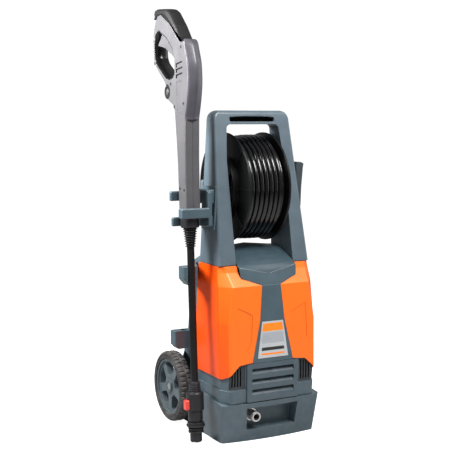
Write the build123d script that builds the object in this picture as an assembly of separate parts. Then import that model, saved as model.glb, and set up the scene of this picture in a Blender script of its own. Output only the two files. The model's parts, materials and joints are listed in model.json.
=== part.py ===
from build123d import *
from math import cos, radians, sin
import os

os.makedirs("parts", exist_ok=True)

# Upright electric pressure washer with a hose reel in its handle frame, a spray gun and lance
# parked on its left side, and two transport wheels at the rear. Every piece is a solid of its own.
# Millimetres, +Z up. The origin is on the floor under the middle of the machine, the front is -Y,
# and x = 0 is the mirror plane of the housings.

# ---- general fits ----------------------------------------------------------------------------
WALL = 3.0                 # moulded wall of the housings
SEAM = 0.4                 # gap between neighbouring mouldings
RUN = 0.05                 # radial clearance of a shaft in its bore
PLAY = 0.5                 # clearance round a moving button, lever or drum

# ---- base ------------------------------------------------------------------------------------
BASE_RIM_HALF = 146.0      # half width at the rim
BASE_FLOOR_HALF = 138.0    # half width on the floor
BASE_WAIST_HALF = 131.0    # half width between the wheels
BASE_RIM_FRONT = -133.0
BASE_FLOOR_FRONT = -116.0
BASE_BOW = 11.0            # how far the front bulges in the middle
BASE_STEP_Y = 36.0         # where the base narrows for the wheels
BASE_REAR = 150.0
RIM_Z_FRONT = 103.0
RIM_Z_REAR = 117.0
BASE_FLOOR = 6.0           # thickness of the bottom plate
DECK_HALF = 120.0          # opening in the deck for the motor and the pipes
DECK_Y0 = -94.0
DECK_Y1 = 112.0
FOOT_R = 14.0
FOOT_T = 4.0
FOOT_X = 104.0
FOOT_Y = -78.0

# ---- water inlet -----------------------------------------------------------------------------
RECESS_HALF_TOP = 76.0
RECESS_HALF_BOTTOM = 72.0
RECESS_Z0 = 31.0
RECESS_Z1 = 90.0
RECESS_BACK_Y = -98.0
INLET_X = -49.0
INLET_Z = 65.0
INLET_R = 13.2             # three-quarter inch male thread, outside
INLET_BORE_R = 8.5
INLET_TIP_Y = -141.0

# ---- wheels ----------------------------------------------------------------------------------
WHEEL_R = 96.0
WHEEL_Y = 136.0
WHEEL_INNER_X = 139.0
WHEEL_WIDTH = 36.0
TYRE_DEPTH = 19.0          # radial height of the tyre
HUB_R = 17.0
AXLE_R = 8.0
SPOKES = 5

# ---- body above the base ---------------------------------------------------------------------
BODY_REAR = 18.0           # rear edge of the front cover and the orange panels
PANEL_T = 4.0              # thickness of the orange panels
COVER_Z0 = 104.5
SKIRT_TOP = 139.0          # ledge round the foot of the front cover
SKIRT_INSET = 1.0
BEVEL_Z0 = 404.0           # bottom edge of the sloping shoulder
BEVEL_Z1 = 438.0
BODY_TOP = 454.0
# one row per level: z, half width, y of the side edge of the corner facet, half width and y of the front
BODY_LEVELS = [
    (COVER_Z0, 139.0, -110.0, 122.0, -136.0),
    (167.0, 139.5, -108.0, 125.0, -141.0),
    (310.0, 143.0, -105.0, 126.0, -136.0),
    (BEVEL_Z0, 139.0, -97.0, 112.0, -130.0),
    (BEVEL_Z1, 136.0, -88.0, 116.0, -103.0),
    (BODY_TOP, 134.5, -84.0, 118.0, -98.0),
]
CORNER_R = 9.0             # rounding of the vertical edges
LOUVRE_HALF = 77.0
LOUVRE_Z1 = 205.0
LOUVRE_FRONT = -141.5
LOUVRE_SLOT_HALF = 62.0
LOUVRE_PITCH = 27.0
LOUVRE_SLOT_H = 13.5
LOUVRE_SLOT_Z = 124.5      # bottom of the lowest slot
GRILLE_X0 = 80.0
GRILLE_X1 = 124.0
GRILLE_Z0 = 142.0
GRILLE_Z1 = 203.0
GRILLE_PITCH = 8.0

# ---- rear cover ------------------------------------------------------------------------------
REAR_HALF = 134.0
REAR_DEPTH_Y = 88.0
REAR_TOP = 492.0

# ---- handle frame ----------------------------------------------------------------------------
TOWER_Z0 = 455.5
TOWER_TOP = 850.0
TOWER_HALF_BOTTOM = 134.0
TOWER_HALF_TOP = 113.5
TOWER_SHOULDER_R = 25.0
TOWER_FRONT_BOTTOM = -95.6
TOWER_FRONT_TOP = -20.645  # the front leans back to here at the top
TOWER_REAR = 20.0
WINDOW_HALF = 85.0
WINDOW_HALF_TOP = 77.0
HANDLE_BAR = 36.0          # height of the bar above the window
WINDOW_NARROW_DROP = 130.0 # from the top down to where the window starts to narrow
SLOT_HALF = 67.0
SLOT_H = 13.0
SLOT_DROP = 16.0           # from the top down to the finger slot
SLOT_BACK = 7.0            # wall left behind the finger slot
TOWER_WALL = 3.5
PARTING_Y0 = -42.0         # the parting line of the two shells, at the foot and at the top
PARTING_Y1 = -2.0

# ---- hose reel -------------------------------------------------------------------------------
REEL_Y = 18.0
REEL_Z = 648.0
FLANGE_R = 144.5
FLANGE_T = 3.0
DRUM_R = 103.0
DRUM_HALF = 54.5           # half the room between the flanges
RING_R = 80.0
RING_H = 17.0
REEL_SHAFT_R = 10.0
BUSH_R = 14.0
BUSH_SEAT_X = WINDOW_HALF + 16
BACK_BOSS_Y = 36.0         # rear of the bosses that carry the reel's bushes
HOSE_D = 12.5
HOSE_LAYERS = 3
HOSE_LAYER_PITCH = 12.0
CRANK_X = 137.0
CRANK_DROP = 51.0          # from the reel's axis down to the grip's pin
CRANK_GRIP_L = 114.0

# ---- spray gun and lance ---------------------------------------------------------------------
GUN_X = -187.0
GUN_Y = -69.9              # where the lance's axis would meet the floor
GUN_TILT = 3.39            # degrees that the lance leans back
GUN_HALF = 20.0            # half width of the gun body
LANCE_R = 9.5
LANCE_TIP = 2.0
TUBE_Z0 = 120.0
LANCE_BORE_R = 4.5
CONNECTOR_R = 22.5
COLLAR_R = 24.0
NOZZLE_CORE_R = 8.0
STRAIGHT_FIT = 0.1         # clearance round the lance where parts are pushed onto it

# ---- motor and pump --------------------------------------------------------------------------
MOTOR_Y = -22.0
MOTOR_R = 62.0
MOTOR_Z0 = 176.0
MOTOR_Z1 = 336.0
SHAFT_R = 7.5
PIPE_R = 5.0                # pressure pipe from the pump up to the reel
PIPE_X = -112.0


def save(name, *solids):
    """Writes one node, which may be a group of separate solids."""
    shape = solids[0] if len(solids) == 1 else Compound(children=list(solids))
    export_step(shape, f"parts/{name}.step")


def prism_x(points, x0, x1):
    """A (y, z) outline pushed along X."""
    face = make_face(Polyline(*[(x0, y, z) for y, z in points], close=True))
    return extrude(face, amount=x1 - x0, dir=(1, 0, 0))


def prism_y(points, y0, y1):
    """An (x, z) outline pushed along Y."""
    face = make_face(Polyline(*[(x, y0, z) for x, z in points], close=True))
    return extrude(face, amount=y1 - y0, dir=(0, 1, 0))


def prism_z(points, z0, z1):
    """An (x, y) outline pushed along Z."""
    face = make_face(Polyline(*[(x, y, z0) for x, y in points], close=True))
    return extrude(face, amount=z1 - z0, dir=(0, 0, 1))


def block(x0, x1, y0, y1, z0, z1, r=0.0):
    """A box between two corners, with all edges rounded when r is given."""
    box = Pos((x0 + x1) / 2, (y0 + y1) / 2, (z0 + z1) / 2) * Box(x1 - x0, y1 - y0, z1 - z0)
    return fillet(box.edges(), r) if r else box


def rod_x(y, z, r, x0, x1, bore=0.0):
    """A rod or tube along X."""
    place = Pos((x0 + x1) / 2, y, z) * Rot(0, 90, 0)
    rod = place * Cylinder(r, x1 - x0)
    return rod - place * Cylinder(bore, x1 - x0 + 2) if bore else rod


def rod_y(x, z, r, y0, y1, bore=0.0):
    """A rod or tube along Y."""
    place = Pos(x, (y0 + y1) / 2, z) * Rot(90, 0, 0)
    rod = place * Cylinder(r, y1 - y0)
    return rod - place * Cylinder(bore, y1 - y0 + 2) if bore else rod


def rod_z(x, y, r, z0, z1, bore=0.0):
    """A rod or tube along Z."""
    place = Pos(x, y, (z0 + z1) / 2)
    rod = place * Cylinder(r, z1 - z0)
    return rod - place * Cylinder(bore, z1 - z0 + 2) if bore else rod


def mirrored(points):
    return [(-x, z) for x, z in points]


def piped(points, radii, r, bore=0.0):
    """A pipe of straight runs joined by tangent arcs."""
    path = FilletPolyline(*points, radius=radii)
    start = Plane(origin=path @ 0, z_dir=path % 0)
    outer = sweep(start * Circle(r), path=path)
    return outer - sweep(start * Circle(bore), path=path) if bore else outer


# ---- base ------------------------------------------------------------------------------------
def base_plan(z, half, waist, front, rear, step):
    """The base's outline at one level: a bowed front, and a step in each side for the wheel."""
    bow = ThreePointArc((-half, front, z), (0, front - BASE_BOW, z), (half, front, z))
    rest = Polyline((half, front, z), (half, step, z), (waist, step, z), (waist, rear, z),
                    (-waist, rear, z), (-waist, step, z), (-half, step, z), (-half, front, z))
    face = make_face([bow] + rest.edges())
    corners = [v for v in face.vertices() if abs(v.Y - front) < 0.1]
    return fillet(corners, CORNER_R)


def base_block(inset, z0):
    """The base's outer form, or its inside when inset is the wall."""
    top_z = RIM_Z_REAR + 3
    slope = (BASE_RIM_HALF - BASE_FLOOR_HALF) / RIM_Z_FRONT
    lean = (BASE_RIM_FRONT - BASE_FLOOR_FRONT) / RIM_Z_FRONT

    def plan(z):
        return base_plan(z, BASE_FLOOR_HALF + slope * z - inset, BASE_WAIST_HALF - inset,
                         BASE_FLOOR_FRONT + lean * z + inset, BASE_REAR - inset, BASE_STEP_Y - inset)

    return loft([plan(z0), plan(top_z)], ruled=True)


rim_profile = [(-200, -1), (200, -1), (200, RIM_Z_REAR), (BODY_REAR, RIM_Z_REAR),
               (BASE_RIM_FRONT, RIM_Z_FRONT), (-200, RIM_Z_FRONT)]
base_outer = base_block(0, 0) & prism_x(rim_profile, -200, 200)
recess_outline = [(-RECESS_HALF_BOTTOM, RECESS_Z0), (RECESS_HALF_BOTTOM, RECESS_Z0),
                  (RECESS_HALF_TOP, RECESS_Z1), (-RECESS_HALF_TOP, RECESS_Z1)]
recess = prism_y(recess_outline, -180, RECESS_BACK_Y)
pocket = block(-RECESS_HALF_TOP - WALL, RECESS_HALF_TOP + WALL, -180, RECESS_BACK_Y + WALL,
               RECESS_Z0 - WALL, RECESS_Z1 + WALL) & base_outer
under_deck = [(y, z - WALL) for y, z in rim_profile]
base_housing = base_outer - (base_block(WALL, BASE_FLOOR) & prism_x(under_deck, -200, 200))
base_housing -= block(-DECK_HALF, DECK_HALF, DECK_Y0, DECK_Y1, RIM_Z_FRONT - 12, RIM_Z_REAR + 5)
for side in (-1, 1):
    inner, outer = sorted((side * (BASE_WAIST_HALF - 16), side * BASE_WAIST_HALF))
    base_housing += rod_x(WHEEL_Y - 4, WHEEL_R, AXLE_R + 6, inner, outer) & base_outer
    base_housing += block(inner, outer, WHEEL_Y - 4 - AXLE_R - 6, BASE_REAR - WALL, BASE_FLOOR - 1,
                          WHEEL_R) & base_outer
base_housing += pocket
base_housing -= recess
base_housing -= rod_x(WHEEL_Y, WHEEL_R, AXLE_R, -200, 200)
base_housing -= rod_y(INLET_X, INLET_Z, INLET_R + 0.2, RECESS_BACK_Y - 2, RECESS_BACK_Y + WALL + 2)
for side in (-1, 1):
    base_housing -= rod_z(side * FOOT_X, FOOT_Y, FOOT_R, -1, FOOT_T)
save("base_housing", base_housing)
save("rubber_feet", *[rod_z(side * FOOT_X, FOOT_Y, FOOT_R, 0, FOOT_T) for side in (-1, 1)])

# ---- water inlet -----------------------------------------------------------------------------
nipple = rod_y(INLET_X, INLET_Z, INLET_R - 0.9, INLET_TIP_Y, RECESS_BACK_Y + 34)
THREADS = 5
for i in range(THREADS):
    y = INLET_TIP_Y + 3.2 + 3.6 * i
    nipple += rod_y(INLET_X, INLET_Z, INLET_R, y, y + 2.2)
nipple += rod_y(INLET_X, INLET_Z, INLET_R, INLET_TIP_Y + 22, RECESS_BACK_Y + 4)
hexagon = Plane(origin=(INLET_X, RECESS_BACK_Y - 9, INLET_Z), z_dir=(0, 1, 0)) * RegularPolygon(19.0, 6)
nipple += extrude(hexagon, amount=8.6)
nipple -= rod_y(INLET_X, INLET_Z, INLET_BORE_R, INLET_TIP_Y - 1, RECESS_BACK_Y + 40)
save("inlet_nipple", nipple)
strainer = rod_y(INLET_X, INLET_Z, INLET_BORE_R - 0.3, INLET_TIP_Y + 4, INLET_TIP_Y + 7, 5.0)
strainer += rod_y(INLET_X, INLET_Z, 6.4, INLET_TIP_Y + 6, INLET_TIP_Y + 26, 5.2)
strainer += rod_y(INLET_X, INLET_Z, 6.4, INLET_TIP_Y + 25, INLET_TIP_Y + 27)
save("inlet_strainer", strainer)

# ---- wheels ----------------------------------------------------------------------------------
axle_half = WHEEL_INNER_X + WHEEL_WIDTH - 4
axle = rod_x(WHEEL_Y, WHEEL_R, AXLE_R, -axle_half, axle_half)
rim_r = WHEEL_R - TYRE_DEPTH
rim_x0 = WHEEL_INNER_X + 3
rim_x1 = WHEEL_INNER_X + WHEEL_WIDTH - 3


def wheel_opening(angle):
    """One rounded opening between two spokes, cut right through."""
    half_in, half_out = radians(17), radians(27)
    r_in, r_out = HUB_R + 14, rim_r - 11
    pts = [(r_in, -half_in), (r_out, -half_out), (r_out + 3, 0), (r_out, half_out), (r_in, half_in)]
    flat = [(rim_x0 - 2, r * cos(a), r * sin(a)) for r, a in pts]
    face = make_face(Polyline(*flat, close=True))
    face = fillet(face.vertices(), 5.0)
    cut = extrude(face, amount=rim_x1 - rim_x0 + 4, dir=(1, 0, 0))
    return Pos(0, WHEEL_Y, WHEEL_R) * Rot(angle, 0, 0) * cut


rim = rod_x(WHEEL_Y, WHEEL_R, rim_r, rim_x0, rim_x1)
rim -= rod_x(WHEEL_Y, WHEEL_R, rim_r - 7, rim_x1 - 5, rim_x1 + 1)
rim -= rod_x(WHEEL_Y, WHEEL_R, rim_r - 7, rim_x0 - 1, rim_x0 + 5)
rim += rod_x(WHEEL_Y, WHEEL_R, HUB_R, rim_x0 - 3, rim_x1)
for k in range(SPOKES):
    rim -= wheel_opening(90 + k * 360 / SPOKES)
rim -= rod_x(WHEEL_Y, WHEEL_R, HUB_R - 5, rim_x1 - 6, rim_x1 + 1)
rim -= rod_x(WHEEL_Y, WHEEL_R, AXLE_R + RUN, 100, 200)

tyre_x = (WHEEL_INNER_X, WHEEL_INNER_X + 5, WHEEL_INNER_X + WHEEL_WIDTH - 5, WHEEL_INNER_X + WHEEL_WIDTH)
tyre_outline = [(tyre_x[0], rim_r), (tyre_x[0], WHEEL_R - 5), (tyre_x[1], WHEEL_R - 0.8),
                (WHEEL_INNER_X + 12, WHEEL_R), (WHEEL_INNER_X + 12.6, WHEEL_R - 2.5),
                (WHEEL_INNER_X + 14.4, WHEEL_R - 2.5), (WHEEL_INNER_X + 15, WHEEL_R),
                (WHEEL_INNER_X + 21, WHEEL_R), (WHEEL_INNER_X + 21.6, WHEEL_R - 2.5),
                (WHEEL_INNER_X + 23.4, WHEEL_R - 2.5), (WHEEL_INNER_X + 24, WHEEL_R),
                (tyre_x[2], WHEEL_R - 0.8), (tyre_x[3], WHEEL_R - 5), (tyre_x[3], rim_r)]
tyre_face = make_face(Polyline(*[(x, 0, r) for x, r in tyre_outline], close=True))
tyre = Pos(0, WHEEL_Y, WHEEL_R) * revolve(tyre_face, axis=Axis.X)
clip = rod_x(WHEEL_Y, WHEEL_R, HUB_R - 5.5, rim_x1 - 5.4, rim_x1 - 3.4, AXLE_R)
clip += rod_x(WHEEL_Y, WHEEL_R, AXLE_R + 1.5, rim_x1 - 5.4, rim_x1 - 1, AXLE_R)

save("right_wheel_rim", rim)
save("right_tyre", tyre)
save("left_wheel_rim", mirror(rim, about=Plane.YZ))
save("left_tyre", mirror(tyre, about=Plane.YZ))
save("wheel_axle", axle, clip, mirror(clip, about=Plane.YZ))


# ---- body panels -----------------------------------------------------------------------------
def body_block(inset, z_cut0, z_cut1):
    """The body's outer form, moved in by inset, between two levels."""
    faces = []
    for z, half, side_y, front_half, front_y in BODY_LEVELS:
        facet = 0.41 * inset
        pts = [(-half + inset, BODY_REAR), (-half + inset, side_y + facet),
               (-front_half + facet, front_y + inset), (front_half - facet, front_y + inset),
               (half - inset, side_y + facet), (half - inset, BODY_REAR)]
        face = make_face(Polyline(*[(x, y, z) for x, y in pts], close=True))
        corners = [v for v in face.vertices() if v.Y < BODY_REAR - 1]
        faces.append(fillet(corners, CORNER_R))
    form = loft(faces, ruled=True)
    return form & block(-200, 200, -200, BODY_REAR, z_cut0, z_cut1)


body_outer = body_block(0, COVER_Z0, BODY_TOP)
panel_inner = body_block(PANEL_T, COVER_Z0 - 1, BODY_TOP + 1)
cover_outer = body_block(PANEL_T + SEAM, COVER_Z0, BODY_TOP - 1.5)
cover_inner = body_block(PANEL_T + SEAM + WALL, COVER_Z0 - 1, BODY_TOP + 1)
panel_skin = body_outer - panel_inner

# the orange panel's outline in front view, from the top inner corner round to the side
panel_outline = [(85.0, BODY_TOP), (81.4, 423.5), (27.7, BEVEL_Z0), (36.0, 315.0), (60.0, 207.5),
                 (97.0, 204.0), (136.2, 168.0), (170.0, 167.0), (170.0, BODY_TOP)]
facet_outline = [(58.0, 330.0), (100.0, 352.0), (104.0, 262.0), (76.0, 236.0), (62.0, 262.0)]
facet_depth = 1.2
facet_skin = body_outer - body_block(facet_depth, COVER_Z0 - 1, BODY_TOP + 1)
for name, turn in (("right", list), ("left", mirrored)):
    panel = panel_skin & prism_y(turn(panel_outline), -200, BODY_REAR)
    panel -= facet_skin & prism_y(turn(facet_outline), -200, -60)
    save(f"side_panel_{name}", panel)

# the middle column between the panels, and the two arms that rise to the hood's crease
column_outline = [(-27.7 + SEAM, BEVEL_Z0), (27.7 - SEAM, BEVEL_Z0), (36.0 - SEAM, 315.0),
                  (60.0 - SEAM, 207.5), (60.0, LOUVRE_Z1), (-60.0, LOUVRE_Z1), (-60.0 + SEAM, 207.5),
                  (-36.0 + SEAM, 315.0)]
column = (body_outer - cover_inner) & prism_y(column_outline, -200, -60)


def arm_level(z, middle_y, end_y, inset):
    pts = [(-84.0, end_y + inset), (-27.0, middle_y + inset), (27.0, middle_y + inset),
           (84.0, end_y + inset), (84.0, -88.0 - inset), (-84.0, -88.0 - inset)]
    return make_face(Polyline(*[(x, y, z) for x, y in pts], close=True))


def arm_block(inset, z0, z1):
    return loft([arm_level(z0, -129.8, -121.0, inset), arm_level(z1, -115.5, -111.0, inset)], ruled=True)


arms_outline = [(-84.0, 449.0), (-81.4 + SEAM, 423.5 + SEAM), (-27.7 + SEAM, BEVEL_Z0 + SEAM),
                (-27.7 + SEAM, BEVEL_Z0 - 1), (27.7 - SEAM, BEVEL_Z0 - 1), (27.7 - SEAM, BEVEL_Z0 + SEAM),
                (81.4 - SEAM, 423.5 + SEAM), (84.0, 449.0), (0.0, 430.6)]
arms = (arm_block(0, 398, 452) - arm_block(WALL, 390, 460)) & prism_y(arms_outline, -200, -95)
skirt = body_block(SKIRT_INSET, COVER_Z0, SKIRT_TOP) - cover_inner
front_cover = (cover_outer - cover_inner) + column + arms + skirt
front_cover -= block(-LOUVRE_HALF - SEAM, LOUVRE_HALF + SEAM, -200, -60, COVER_Z0 - 1, LOUVRE_Z1)
for side in (-1, 1):
    x0, x1 = sorted((side * GRILLE_X0, side * GRILLE_X1))
    front_cover -= block(x0, x1, -200, -60, GRILLE_Z0, GRILLE_Z1)
crease = [(-90, 470), (-84.4, 452), (-84.4, 449.4), (0, 431), (84.4, 449.4), (84.4, 452), (90, 470)]
front_cover -= prism_y(crease, -200, -60)
deck_slope = [(y, z + 0.5) for y, z in rim_profile]
front_cover -= prism_x(deck_slope, -200, 200)
save("front_cover", front_cover)

# the louvre block in the middle of the plinth
louvre = block(-LOUVRE_HALF, LOUVRE_HALF, LOUVRE_FRONT, LOUVRE_FRONT + 24, COVER_Z0 + 1, LOUVRE_Z1 - SEAM)
louvre = fillet(louvre.edges().filter_by(Axis.Z).group_by(Axis.Y)[0], 5.0)
louvre -= block(-LOUVRE_HALF + WALL, LOUVRE_HALF - WALL, LOUVRE_FRONT + WALL + 2, LOUVRE_FRONT + 30,
                COVER_Z0 + 4, LOUVRE_Z1 - SEAM - WALL)
for i in range(3):
    z = LOUVRE_SLOT_Z + LOUVRE_PITCH * i
    louvre -= block(-LOUVRE_SLOT_HALF, LOUVRE_SLOT_HALF, LOUVRE_FRONT - 5, LOUVRE_FRONT + 8, z,
                    z + LOUVRE_SLOT_H)
    blade = [(LOUVRE_FRONT + 0.5, z - 1), (LOUVRE_FRONT + 3, z - 1), (LOUVRE_FRONT + 14, z + 9),
             (LOUVRE_FRONT + 14, z + 11.5), (LOUVRE_FRONT + 12, z + 11.5)]
    louvre += prism_x(blade, -LOUVRE_SLOT_HALF - 4, LOUVRE_SLOT_HALF + 4)
save("front_louvre", louvre)

# the fine upright vents beside it, set behind the cover's front
grille_back = body_block(PANEL_T + SEAM + 1.5, COVER_Z0 - 1, BODY_TOP + 1)
grille_skin = grille_back - body_block(PANEL_T + SEAM + 1.5 + 2.5, COVER_Z0 - 2, BODY_TOP + 2)
vents = []
for side in (-1, 1):
    x0, x1 = sorted((side * (GRILLE_X0 + 0.2), side * (GRILLE_X1 - 0.2)))
    grille = grille_skin & block(x0, x1, -200, -60, GRILLE_Z0 + 0.2, GRILLE_Z1 - 0.2)
    count = int((x1 - x0 - 6) / GRILLE_PITCH)
    for i in range(count):
        x = x0 + 5 + GRILLE_PITCH * i
        grille -= block(x, x + GRILLE_PITCH / 2, -200, -60, GRILLE_Z0 + 6, GRILLE_Z1 - 6)
    vents.append(grille)
save("side_vents", *vents)

# a blank name plate on the column
plate_skin = body_block(-1.2, 210, 320) - body_outer
plate_outline = [(-31.0, 311.0), (31.0, 311.0), (45.0, 217.0), (-45.0, 217.0)]
save("name_plate", plate_skin & prism_y(plate_outline, -200, -60))


# ---- hood between the legs -------------------------------------------------------------------
def hood_section(x, inset):
    """The hood's side profile at one x: the front edge and the crown are lower in the middle of its width."""
    rise = (abs(x) / 84.0)
    front_y = -117.5 + 7.0 * rise
    front_z = 431.4 + 18.4 * rise
    pts = [(front_y, front_z), (-113 + 5 * rise, 442 + 10 * rise), (-105 + 3 * rise, 453 + 3 * rise),
           (-92 + 2 * rise, 464.5 - 2 * rise), (-76 + rise, 475 - 5 * rise), (-58, 484 - 7 * rise),
           (-38, 491 - 7 * rise), (-16, 495.6 - 7 * rise), (BODY_REAR + 2, 498 - 8 * rise)]
    top = [(y + inset * 0.5, z - inset) for y, z in pts]
    low = [(BODY_REAR + 2, 425 - inset), (front_y + 3 + inset * 0.5, 425 - inset)]
    return make_face(Polyline(*[(x, y, z) for y, z in top + low], close=True))


hood_half = WINDOW_HALF - 1.2
hood = loft([hood_section(x, 0) for x in (-hood_half, 0, hood_half)], ruled=True)
hood -= loft([hood_section(x, WALL) for x in (-hood_half - 1, 0, hood_half + 1)], ruled=True)
hood -= block(-200, 200, -200, 100, 400, 428)
hood -= arm_block(-SEAM, 380, 470) & prism_y([(-90, 449.6), (0, 431.2), (90, 449.6), (90, 380), (-90, 380)],
                                              -200, -90)
hood -= body_block(PANEL_T + SEAM - 0.3, COVER_Z0, BODY_TOP) & block(-200, 200, -200, 100, 380, BODY_TOP)
save("hood", hood)

# ---- rear cover ------------------------------------------------------------------------------
rear_outline = [(-REAR_HALF, RIM_Z_REAR + 1), (REAR_HALF, RIM_Z_REAR + 1), (REAR_HALF, 425),
                (REAR_HALF - 13, 455), (WINDOW_HALF - 1, REAR_TOP - 2), (-WINDOW_HALF + 1, REAR_TOP - 2),
                (-REAR_HALF + 13, 455), (-REAR_HALF, 425)]
rear_inside = [(x * (1 - WALL / REAR_HALF), z - WALL if z > 300 else z - 20) for x, z in rear_outline]
rear_profile = [(TOWER_REAR + 0.6, BODY_TOP - 1.5), (BODY_REAR + SEAM, BODY_TOP - 1.5),
                (BODY_REAR + SEAM, RIM_Z_REAR + 1), (BASE_REAR, RIM_Z_REAR + 1), (BASE_REAR, 150),
                (REAR_DEPTH_Y + 10, 232), (REAR_DEPTH_Y, 300), (REAR_DEPTH_Y, 440), (48, 480),
                (TOWER_REAR + 0.6, REAR_TOP)]
rear_profile_in = [(TOWER_REAR - 5, 100), (BASE_REAR - WALL, 100), (BASE_REAR - WALL, 149),
                   (REAR_DEPTH_Y + 10 - WALL, 231), (REAR_DEPTH_Y - WALL, 299), (REAR_DEPTH_Y - WALL, 438),
                   (46.5, 476.5), (TOWER_REAR - 5, 489.5)]
rear_outer = prism_y(rear_outline, BODY_REAR, BASE_REAR + 1) & prism_x(rear_profile, -200, 200)
rear_edges = rear_outer.edges().filter_by(lambda e: e.center().Y > 60 and e.center().Z > 160)
rear_outer = fillet(rear_edges, 7.0)
rear_room = prism_y(rear_inside, TOWER_REAR - 6, BASE_REAR) & prism_x(rear_profile_in, -200, 200)
rear_cover = rear_outer - rear_room
REAR_VENTS = 6
for i in range(REAR_VENTS):
    z = 262 + 15 * i
    rear_cover -= block(-70, 70, REAR_DEPTH_Y - 12, REAR_DEPTH_Y + 30, z, z + 7)
SWITCH_X, SWITCH_Z, KNOB_R = 62.0, 404.0, 21.0
rear_cover -= rod_y(SWITCH_X, SWITCH_Z, 7.0, REAR_DEPTH_Y - 10, REAR_DEPTH_Y + 10)
GLAND_X, GLAND_Z = -62.0, 404.0
rear_cover -= rod_y(GLAND_X, GLAND_Z, 8.0, REAR_DEPTH_Y - 10, REAR_DEPTH_Y + 10)
rear_cover -= rod_x(WHEEL_Y, WHEEL_R, WHEEL_R + 8, BASE_WAIST_HALF - 1, 200)
rear_cover -= rod_x(WHEEL_Y, WHEEL_R, WHEEL_R + 8, -200, -BASE_WAIST_HALF + 1)
save("rear_cover", rear_cover)

# the switch behind the rear cover, its knob, and the mains lead's gland
save("switch_box", block(SWITCH_X - 26, SWITCH_X + 26, REAR_DEPTH_Y - WALL - 38, REAR_DEPTH_Y - WALL - 0.5,
                         SWITCH_Z - 24, SWITCH_Z + 24, 2.0)
     - rod_y(SWITCH_X, SWITCH_Z, 5.0 + RUN, REAR_DEPTH_Y - 22, REAR_DEPTH_Y + 10))
knob_y = REAR_DEPTH_Y + 0.6
knob = rod_y(SWITCH_X, SWITCH_Z, KNOB_R, knob_y, knob_y + 9)
knob = fillet(knob.edges().group_by(Axis.Y)[-1], 2.0)
knob += block(SWITCH_X - 5, SWITCH_X + 5, knob_y + 7, knob_y + 22,
              SWITCH_Z - KNOB_R + 1, SWITCH_Z + KNOB_R - 1, 2.0)
knob += rod_y(SWITCH_X, SWITCH_Z, 5.0, REAR_DEPTH_Y - 20, knob_y + 2)
save("switch_knob", knob)
gland = rod_y(GLAND_X, GLAND_Z, 8.0, REAR_DEPTH_Y - 10, REAR_DEPTH_Y + 1, 4.2)
gland += rod_y(GLAND_X, GLAND_Z, 12.0, REAR_DEPTH_Y + 0.1, REAR_DEPTH_Y + 6, 4.2)
gland += Pos(GLAND_X, REAR_DEPTH_Y + 15, GLAND_Z) * Rot(-90, 0, 0) * Cone(9.0, 6.5, 20)
gland -= rod_y(GLAND_X, GLAND_Z, 4.2, REAR_DEPTH_Y - 20, REAR_DEPTH_Y + 40)
save("cable_gland", gland)


# ---- handle frame ----------------------------------------------------------------------------
def tower_front(z):
    share = (z - TOWER_Z0) / (TOWER_TOP - TOWER_Z0)
    return TOWER_FRONT_BOTTOM + (TOWER_FRONT_TOP - TOWER_FRONT_BOTTOM) * share


def tower_half(z):
    share = (z - TOWER_Z0) / (TOWER_TOP - TOWER_SHOULDER_R - TOWER_Z0)
    return TOWER_HALF_BOTTOM + (TOWER_HALF_TOP - TOWER_HALF_BOTTOM) * share


WINDOW_TOP = TOWER_TOP - HANDLE_BAR
WINDOW_NARROW_Z = TOWER_TOP - WINDOW_NARROW_DROP
SLOT_Z1 = TOWER_TOP - SLOT_DROP
SLOT_Z0 = SLOT_Z1 - SLOT_H
outline = make_face(Polyline(
    (-TOWER_HALF_BOTTOM, -150, TOWER_Z0), (-tower_half(TOWER_TOP), -150, TOWER_TOP),
    (tower_half(TOWER_TOP), -150, TOWER_TOP), (TOWER_HALF_BOTTOM, -150, TOWER_Z0), close=True))
outline = fillet([v for v in outline.vertices() if v.Z > WINDOW_NARROW_Z], TOWER_SHOULDER_R)
window = make_face(Polyline(
    (-WINDOW_HALF, -150, TOWER_Z0 - 1), (-WINDOW_HALF, -150, WINDOW_NARROW_Z),
    (-WINDOW_HALF_TOP, -150, WINDOW_TOP), (WINDOW_HALF_TOP, -150, WINDOW_TOP),
    (WINDOW_HALF, -150, WINDOW_NARROW_Z), (WINDOW_HALF, -150, TOWER_Z0 - 1), close=True))
window = fillet([v for v in window.vertices() if v.Z > WINDOW_NARROW_Z], 12.0)
slot = make_face([
    ThreePointArc((-SLOT_HALF, -150, SLOT_Z1 - 1), (0, -150, SLOT_Z1 + 1), (SLOT_HALF, -150, SLOT_Z1 - 1)),
    Line((SLOT_HALF, -150, SLOT_Z1 - 1), (SLOT_HALF, -150, SLOT_Z0)),
    Line((SLOT_HALF, -150, SLOT_Z0), (-SLOT_HALF, -150, SLOT_Z0)),
    Line((-SLOT_HALF, -150, SLOT_Z0), (-SLOT_HALF, -150, SLOT_Z1 - 1))])
slot = fillet(slot.vertices(), 4.0)
tower_side = make_face(Polyline(
    (-200, TOWER_FRONT_BOTTOM, TOWER_Z0), (-200, tower_front(TOWER_TOP), TOWER_TOP),
    (-200, TOWER_REAR, TOWER_TOP), (-200, TOWER_REAR, TOWER_Z0), close=True))
tower_side = fillet([v for v in tower_side.vertices() if v.Z > WINDOW_NARROW_Z], 13.0)
tower = extrude(outline, amount=300, dir=(0, 1, 0)) & extrude(tower_side, amount=400, dir=(1, 0, 0))
long_edges = [e for e in tower.edges() if e.length > 300 and abs(e.center().X) > 60]
tower = fillet(long_edges, 7.0)
tower -= extrude(window, amount=300, dir=(0, 1, 0))
tower -= extrude(slot, amount=150 + TOWER_REAR - SLOT_BACK, dir=(0, 1, 0))
leg_foot = TOWER_Z0 - 2
leg_top = WINDOW_TOP - 18
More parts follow.
